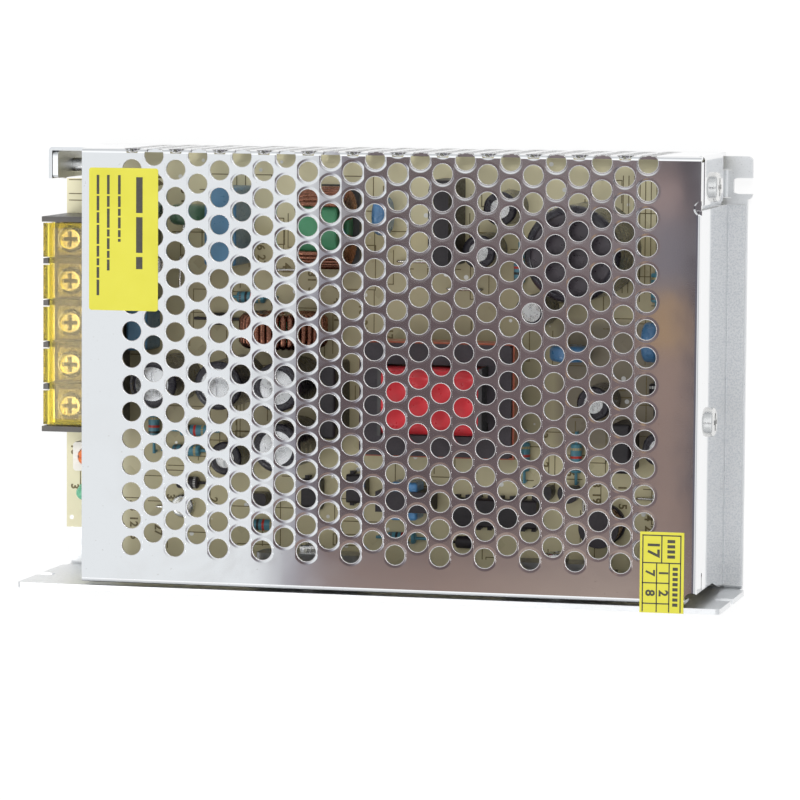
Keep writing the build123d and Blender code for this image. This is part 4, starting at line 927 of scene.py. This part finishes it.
# Legend of the board: outline strokes and plain figures in brown ink; sizes in mm
legend = {
    "seed": 17,
    "ink": (0.115, 0.090, 0.040),
    "stroke": 0.22, "shortest": 0.1,
    "height": 0.04, "sink": 0.02,
    "grid": 2.54, "routes": 150, "margin": 3.0,
    # how far the two cut corners reach in from the board's left end and from its long edges
    "notch": (13.0, 8.0), "corner": (9.0, 6.0),
    "comb": {"from": 52.0, "to": 66.0, "low": 18.0, "high": 44.0, "step": 1.27},
    "ties": (36.5, 38.0, 41.2), "tieReach": (0.6, 7.0),
    "figures": ("33", "17", "23", "36", "8", "12", "4", "19", "27", "10", "5", "41", "2", "14", "31", "6"),
    "figureSize": 2.6, "rounds": 3,
    # figures are strewn by two shares that step on: inset, what both insets take off, step and start
    "strewX": (16.0, 22.0, 0.381, 0.0), "strewY": (4.0, 8.0, 0.617, 0.1),
    "placed": (
        ("33", -52.9, -31.9), ("23", -42.7, -32.3), ("36", -32.6, -32.6),
        ("10", -76.0, -21.0), ("3", -76.0, -29.6)),
}


def addStroke(bm, top, x0, y0, x1, y1):
    if abs(x1 - x0) + abs(y1 - y0) < legend["shortest"]:
        return
    half = legend["stroke"] / 2
    low = (min(x0, x1) - half, min(y0, y1) - half, top - legend["sink"])
    high = (max(x0, x1) + half, max(y0, y1) + half, top + legend["height"])
    addBox(bm, low, high)


def addRoute(bm, rng, low, high):
    # One outline of up to three legs on the board's grid, clear of its two cut corners
    margin = legend["margin"]
    x = low.x + margin + rng.random() * (high.x - low.x - 2 * margin)
    y = low.y + margin + rng.random() * (high.y - low.y - 2 * margin)
    across = rng.random() < 0.5
    for _ in range(rng.choice((1, 2, 2, 3))):
        reach = rng.choice((-1, 1)) * legend["grid"] * rng.choice((1, 2, 3, 4))
        nextX = min(max(x + reach * across, low.x + margin), high.x - margin)
        nextY = min(max(y + reach * (not across), low.y + margin), high.y - margin)
        left = min(x, nextX) - low.x
        inNotch = left < legend["notch"][0] and min(y, nextY) < low.y + legend["notch"][1]
        inCorner = left < legend["corner"][0] and max(y, nextY) > high.y - legend["corner"][1]
        if not inNotch and not inCorner:
            addStroke(bm, high.z, x, y, nextX, nextY)
        x, y = nextX, nextY
        across = not across


def strewn(number, low, length, inset, both, step, start):
    return low + inset + (length - both) * ((number * step + start) % 1.0)


def boardLegend():
    rng = random.Random(legend["seed"])
    low, high = [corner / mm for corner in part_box("circuit_board")]
    bm = bmesh.new()
    for number in range(legend["routes"]):
        addRoute(bm, rng, low, high)
    comb = legend["comb"]
    x = comb["from"]
    while x < comb["to"]:
        addStroke(bm, high.z, x, comb["low"], x, comb["high"])
        x += comb["step"]
    for y in legend["ties"]:
        addStroke(bm, high.z, low.x + legend["tieReach"][0], y, low.x + legend["tieReach"][1], y)
    printed = high.z + legend["height"]
    for number, text in enumerate(legend["figures"] * legend["rounds"]):
        x = strewn(number, low.x, high.x - low.x, *legend["strewX"])
        y = strewn(number, low.y, high.y - low.y, *legend["strewY"])
        addText(bm, text, legend["figureSize"], (x, y, printed))
    for text, x, y in legend["placed"]:
        addText(bm, text, legend["figureSize"], (x, y, printed))
    laid("boardLegend", bm, inkMaterial("legendInk", legend["ink"]), "board_laminate")


# The board's rear edge runs on nearly to the side wall, under the fold; sizes in mm
rearEdge = {"toWall": 0.4, "toBoard": 0.02, "leftEnd": 10.0}


def boardMargin():
    low, high = [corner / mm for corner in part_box("circuit_board")]
    wall = perforation["Fold start"] / mm
    bm = bmesh.new()
    near = (low.x + rearEdge["leftEnd"], high.y + rearEdge["toBoard"], low.z)
    addBox(bm, near, (high.x, wall - rearEdge["toWall"], high.z))
    laid("boardMargin", bm, looks["circuit_board"], "board_laminate")


# Print on the two labels: bars where lines of text would stand, a ruled grid and plain figures; sizes in mm
labelPrint = {
    "ink": (0.030, 0.028, 0.022),
    "sink": 0.025,  # the labels are this much thinner, so that the ink stays within the part's own box
    "skin": 0.01,  # vertices this near the CAD label's outer face are moved
    "lift": -0.008,
    "depth": 0.05,
}
bars = {
    "seed": 5,
    "lines": (
        # share of the label's length from its left edge, start and end along Y from its back edge, thickness
        (0.73, 2.0, 22.4, 1.5), (0.44, 1.6, 16.4, 0.62), (0.28, 1.6, 23.2, 0.62), (0.13, 1.6, 28.4, 0.62)),
    # lengths of a bar and of the gap after it, for each mm of thickness
    "stretch": 1.15, "dashes": (2.2, 3.4, 4.6, 6.0), "gap": 0.608,
}
grid = {
    "rule": 0.27, "left": 0.065, "right": 0.075, "back": 0.75, "front": 0.35,
    "rows": (6.0, 4.4, 4.5), "half": 0.5, "columns": (0.37, 0.70), "sideFrom": 1.0,
    # figure, size, share of the grid's length, row, place below the row's rule
    "figures": (
        ("17", 3.6, 0.27, 0, 3.0), ("7", 2.8, 0.19, 1, 2.2), ("1", 2.8, 0.54, 1, 2.2),
        ("8", 2.8, 0.19, 2, 2.2), ("2", 2.8, 0.54, 2, 2.2)),
    # short blocks where words would stand: share of the grid's length, width
    "words": ((0.75, 1.7), (0.86, 1.15)), "blockLength": 0.7, "blockStep": 1.12,
    "wordStart": 0.9, "wordEnd": (0.7, 0.4),
}


def labelSheets():
    for node, name in (("top_label", "topLabelSheet"), ("seal_label", "sealLabelSheet")):
        low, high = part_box(node)
        bm = bmesh.new()
        bm.from_mesh(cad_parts[node].data)
        bmesh.ops.remove_doubles(bm, verts=bm.verts, dist=weld)
        for vert in bm.verts:
            if vert.co.z > high.z - labelPrint["skin"] * mm:
                vert.co.z -= labelPrint["sink"] * mm
            if node == "seal_label" and vert.co.y < low.y + labelPrint["skin"] * mm:
                vert.co.y += labelPrint["sink"] * mm
        laid(name, bm, looks["top_label"], "label_yellow", node)


def addBars(bm):
    low, high = [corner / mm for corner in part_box("top_label")]
    rng = random.Random(bars["seed"])
    for share, start, end, thick in bars["lines"]:
        x = low.x + (high.x - low.x) * share
        y = start
        while y < end:
            dash = min(thick * bars["stretch"] * rng.choice(bars["dashes"]), end - y)
            bottom = (x - thick / 2, high.y - y - dash, high.z - labelPrint["depth"])
            addBox(bm, bottom, (x + thick / 2, high.y - y, high.z + labelPrint["lift"]))
            y += dash + thick * bars["gap"]


def addGrid(bm):
    low, high = [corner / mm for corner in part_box("seal_label")]
    bottom, top = high.z - labelPrint["depth"], high.z + labelPrint["lift"]
    half = grid["rule"] / 2
    length = high.x - low.x
    left = low.x + grid["left"] * length
    run = length * (1 - grid["left"] - grid["right"])
    back, front = high.y - grid["back"], low.y + grid["front"]
    rows = [back]
    for depth in grid["rows"]:
        rows.append(rows[-1] - depth)

    def addRule(share0, y0, share1, y1):
        first = (left + share0 * run - half, y0 - half, bottom)
        addBox(bm, first, (left + share1 * run + half, y1 + half, top))

    for share in (0.0, 1.0):
        addRule(share, front, share, back)
    for y in rows[:2]:
        addRule(0.0, y, 1.0, y)
    addRule(grid["half"], rows[1], grid["half"], back)
    for share in grid["columns"]:
        addRule(share, front, share, rows[1])
    for y in rows[2:]:
        addRule(0.0, y, grid["columns"][1], y)
    for text, size, share, row, below in grid["figures"]:
        addText(bm, text, size, (left + share * run, rows[row] - below, top))
    ends = (rows[1] + grid["wordEnd"][0], front + grid["wordEnd"][1])
    for (share, wide), start, end in zip(grid["words"], rows, ends):
        x, y = left + share * run, start - grid["wordStart"]
        while y - grid["blockLength"] > end:
            addBox(bm, (x - wide / 2, y - grid["blockLength"], bottom), (x + wide / 2, y, top))
            y -= grid["blockStep"]
    # the folded part of the label carries the rules on down the side wall
    for share in (0.0, *grid["columns"], 1.0):
        x = left + share * run
        outer = (x - half, low.y - labelPrint["lift"], low.z + grid["sideFrom"])
        addBox(bm, outer, (x + half, low.y + labelPrint["depth"], bottom))


def labelMarks():
    bm = bmesh.new()
    addBars(bm)
    addGrid(bm)
    laid("labelMarks", bm, inkMaterial("labelInk", labelPrint["ink"]), "label_yellow")


# Colour bands of the resistors and the cathode bands of the diodes; sizes in mm
bands = {
    "sides": 20, "width": 0.55, "proud": 0.03, "waist": 0.02, "waistWithin": 0.3,
    "bandBrown": (0.12, 0.045, 0.02), "bandBlack": (0.02, 0.02, 0.02), "bandRed": (0.45, 0.03, 0.02),
    "bandGold": (0.50, 0.34, 0.08), "bandPale": (0.62, 0.62, 0.60),
    "rough": 0.35, "grain": 1400.0, "coat": 0.2,
}
# Each band's colour and its share of the body's length from the middle
banded = {
    "resistors": {
        "length": 6.6, "diameter": 2.6, "slot": "resistor_tan",
        "bands": (("bandBrown", -0.36), ("bandBlack", -0.16), ("bandRed", 0.04), ("bandGold", 0.32))},
    "diodes": {"length": 5.2, "diameter": 2.8, "slot": "diode_black", "bands": (("bandPale", 0.34),)},
}


def addBand(bm, centre, alongX, radius):
    rings = []
    for end in (-bands["width"] / 2, bands["width"] / 2):
        ring = []
        for number in range(bands["sides"]):
            angle = 2 * math.pi * number / bands["sides"]
            across, up = radius * math.cos(angle), radius * math.sin(angle)
            offset = (end, across, up) if alongX else (across, end, up)
            ring.append(bm.verts.new([(at + by) * mm for at, by in zip(centre, offset)]))
        rings.append(ring)
    joinRings(bm, rings)


def partBands():
    for node, part in banded.items():
        boxes = looseBoxes(node)
        for name, share in part["bands"]:
            bm = bmesh.new()
            for low, high in boxes:
                alongX = high[0] - low[0] > high[1] - low[1]
                centre = [(low[0] + high[0]) / 2, (low[1] + high[1]) / 2, high[2] - part["diameter"] / 2]
                centre[0 if alongX else 1] += share * part["length"]
                # the outer bands lie on the body's rounded shoulders
                waist = bands["waist"] * (abs(share) >= bands["waistWithin"])
                addBand(bm, centre, alongX, part["diameter"] / 2 + bands["proud"] - waist)
            paint = plasticMaterial(
                name + "Paint", bands[name], bands["rough"], bands["grain"], coat=bands["coat"])
            laid(name, bm, paint, part["slot"])


# Bent jumper wires on the board; sizes in mm
jumpers = {
    "radius": 0.32, "sides": 8, "lift": 1.3, "sink": 0.1, "steep": 0.9,
    # each end's way up to the level run: share of the lift, and length along the wire
    "bend": ((0.0, 0.0), (0.55, 0.0), (0.88, 0.15), (1.0, 0.5)),
    "places": (
        # start X and Y, end X and Y
        (-49.6, 34.4, -49.6, 27.4), (-50.4, 24.0, -50.4, 15.5), (-30.0, 21.5, -22.0, 21.5),
        (26.0, 40.5, 26.0, 33.0), (44.0, -36.0, 44.0, -27.0), (56.0, -28.0, 64.0, -28.0),
        (-28.5, -27.0, -28.5, -34.5), (0.5, 24.0, 8.0, 24.0), (-56.0, -33.5, -49.0, -33.5),
        (12.0, 18.0, 20.0, 18.0),
    ),
}


def addWire(bm, points, radius, sides):
    run = points[-1] - points[0]
    level = Vector((-run.x, -run.y, 0)).normalized()
    rings = []
    for number, point in enumerate(points):
        before = points[max(number - 1, 0)]
        after = points[min(number + 1, len(points) - 1)]
        ahead = (after - before).normalized()
        side = ahead.cross(Vector((0, 0, 1)) if abs(ahead.z) < jumpers["steep"] else level).normalized()
        up = side.cross(ahead)
        ring = []
        for k in range(sides):
            angle = 2 * math.pi * k / sides
            ring.append(bm.verts.new((point + radius * (math.cos(angle) * side + math.sin(angle) * up)) * mm))
        rings.append(ring)
    joinRings(bm, rings)


def jumperWires():
    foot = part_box("circuit_board")[1].z / mm - jumpers["sink"]
    bm = bmesh.new()
    for x0, y0, x1, y1 in jumpers["places"]:
        start, end = Vector((x0, y0, foot)), Vector((x1, y1, foot))
        run = (end - start).normalized()
        rise = Vector((0, 0, jumpers["lift"]))
        points = [start + rise * share + run * way for share, way in jumpers["bend"]]
        points += [end + rise * share - run * way for share, way in reversed(jumpers["bend"])]
        addWire(bm, points, jumpers["radius"], jumpers["sides"])
    wires = laid("jumperWires", bm, looks["fuse_caps"], "contact_tin")
    for face in wires.data.polygons:
        face.use_smooth = True


# Painted shade: dark crosses at the bottom of the terminal screws' driving recesses, standing in for the
# shade in them; sizes in mm
recess = {"long": 3.5, "wide": 0.85, "depth": 1.08, "thick": 0.1, "paintedShade": (0.10, 0.08, 0.045), "rough": 0.6}


def screwRecessShade():
    bm = bmesh.new()
    for low, high in looseBoxes("terminal_screws"):
        x, y = (low[0] + high[0]) / 2, (low[1] + high[1]) / 2
        bottom = high[2] - recess["depth"]
        for sizeX, sizeY in ((recess["long"], recess["wide"]), (recess["wide"], recess["long"])):
            near = (x - sizeX / 2, y - sizeY / 2, bottom)
            addBox(bm, near, (x + sizeX / 2, y + sizeY / 2, bottom + recess["thick"]))
    # painted shade: a dark brown stands in for the shade at the bottom of each recess
    paintedShade = plasticMaterial("recessPaintedShade", recess["paintedShade"], recess["rough"])
    laid("screwRecessShade", bm, paintedShade, "screw_steel")


# Strips of sheet that close the slits at the cover's rear right corner: under the relief hole,
# then behind the top sheet's free edge; lowest and highest corner of each in mm
corner = (
    ((71.9, 36.3, 36.5), (73.85, 39.9, 37.0)), ((73.85, 37.85, 36.5), (74.6, 39.9, 37.0)),
    ((73.95, 38.9, 33.55), (74.6, 48.2, 37.15)), ((73.1, 37.0, 6.0), (73.8, 39.3, 36.4)),
)


def cornerStrips():
    bm = bmesh.new()
    for low, high in corner:
        addBox(bm, low, high)
    laid("cornerStrips", bm, looks["mesh_cover"], "cover_steel")


boardLegend()
boardMargin()
labelSheets()
labelMarks()
print("board and labels dressed")
partBands()
jumperWires()
screwRecessShade()
cornerStrips()
holeRims()
woundChokes()
drumTurns()
print("pieces made")
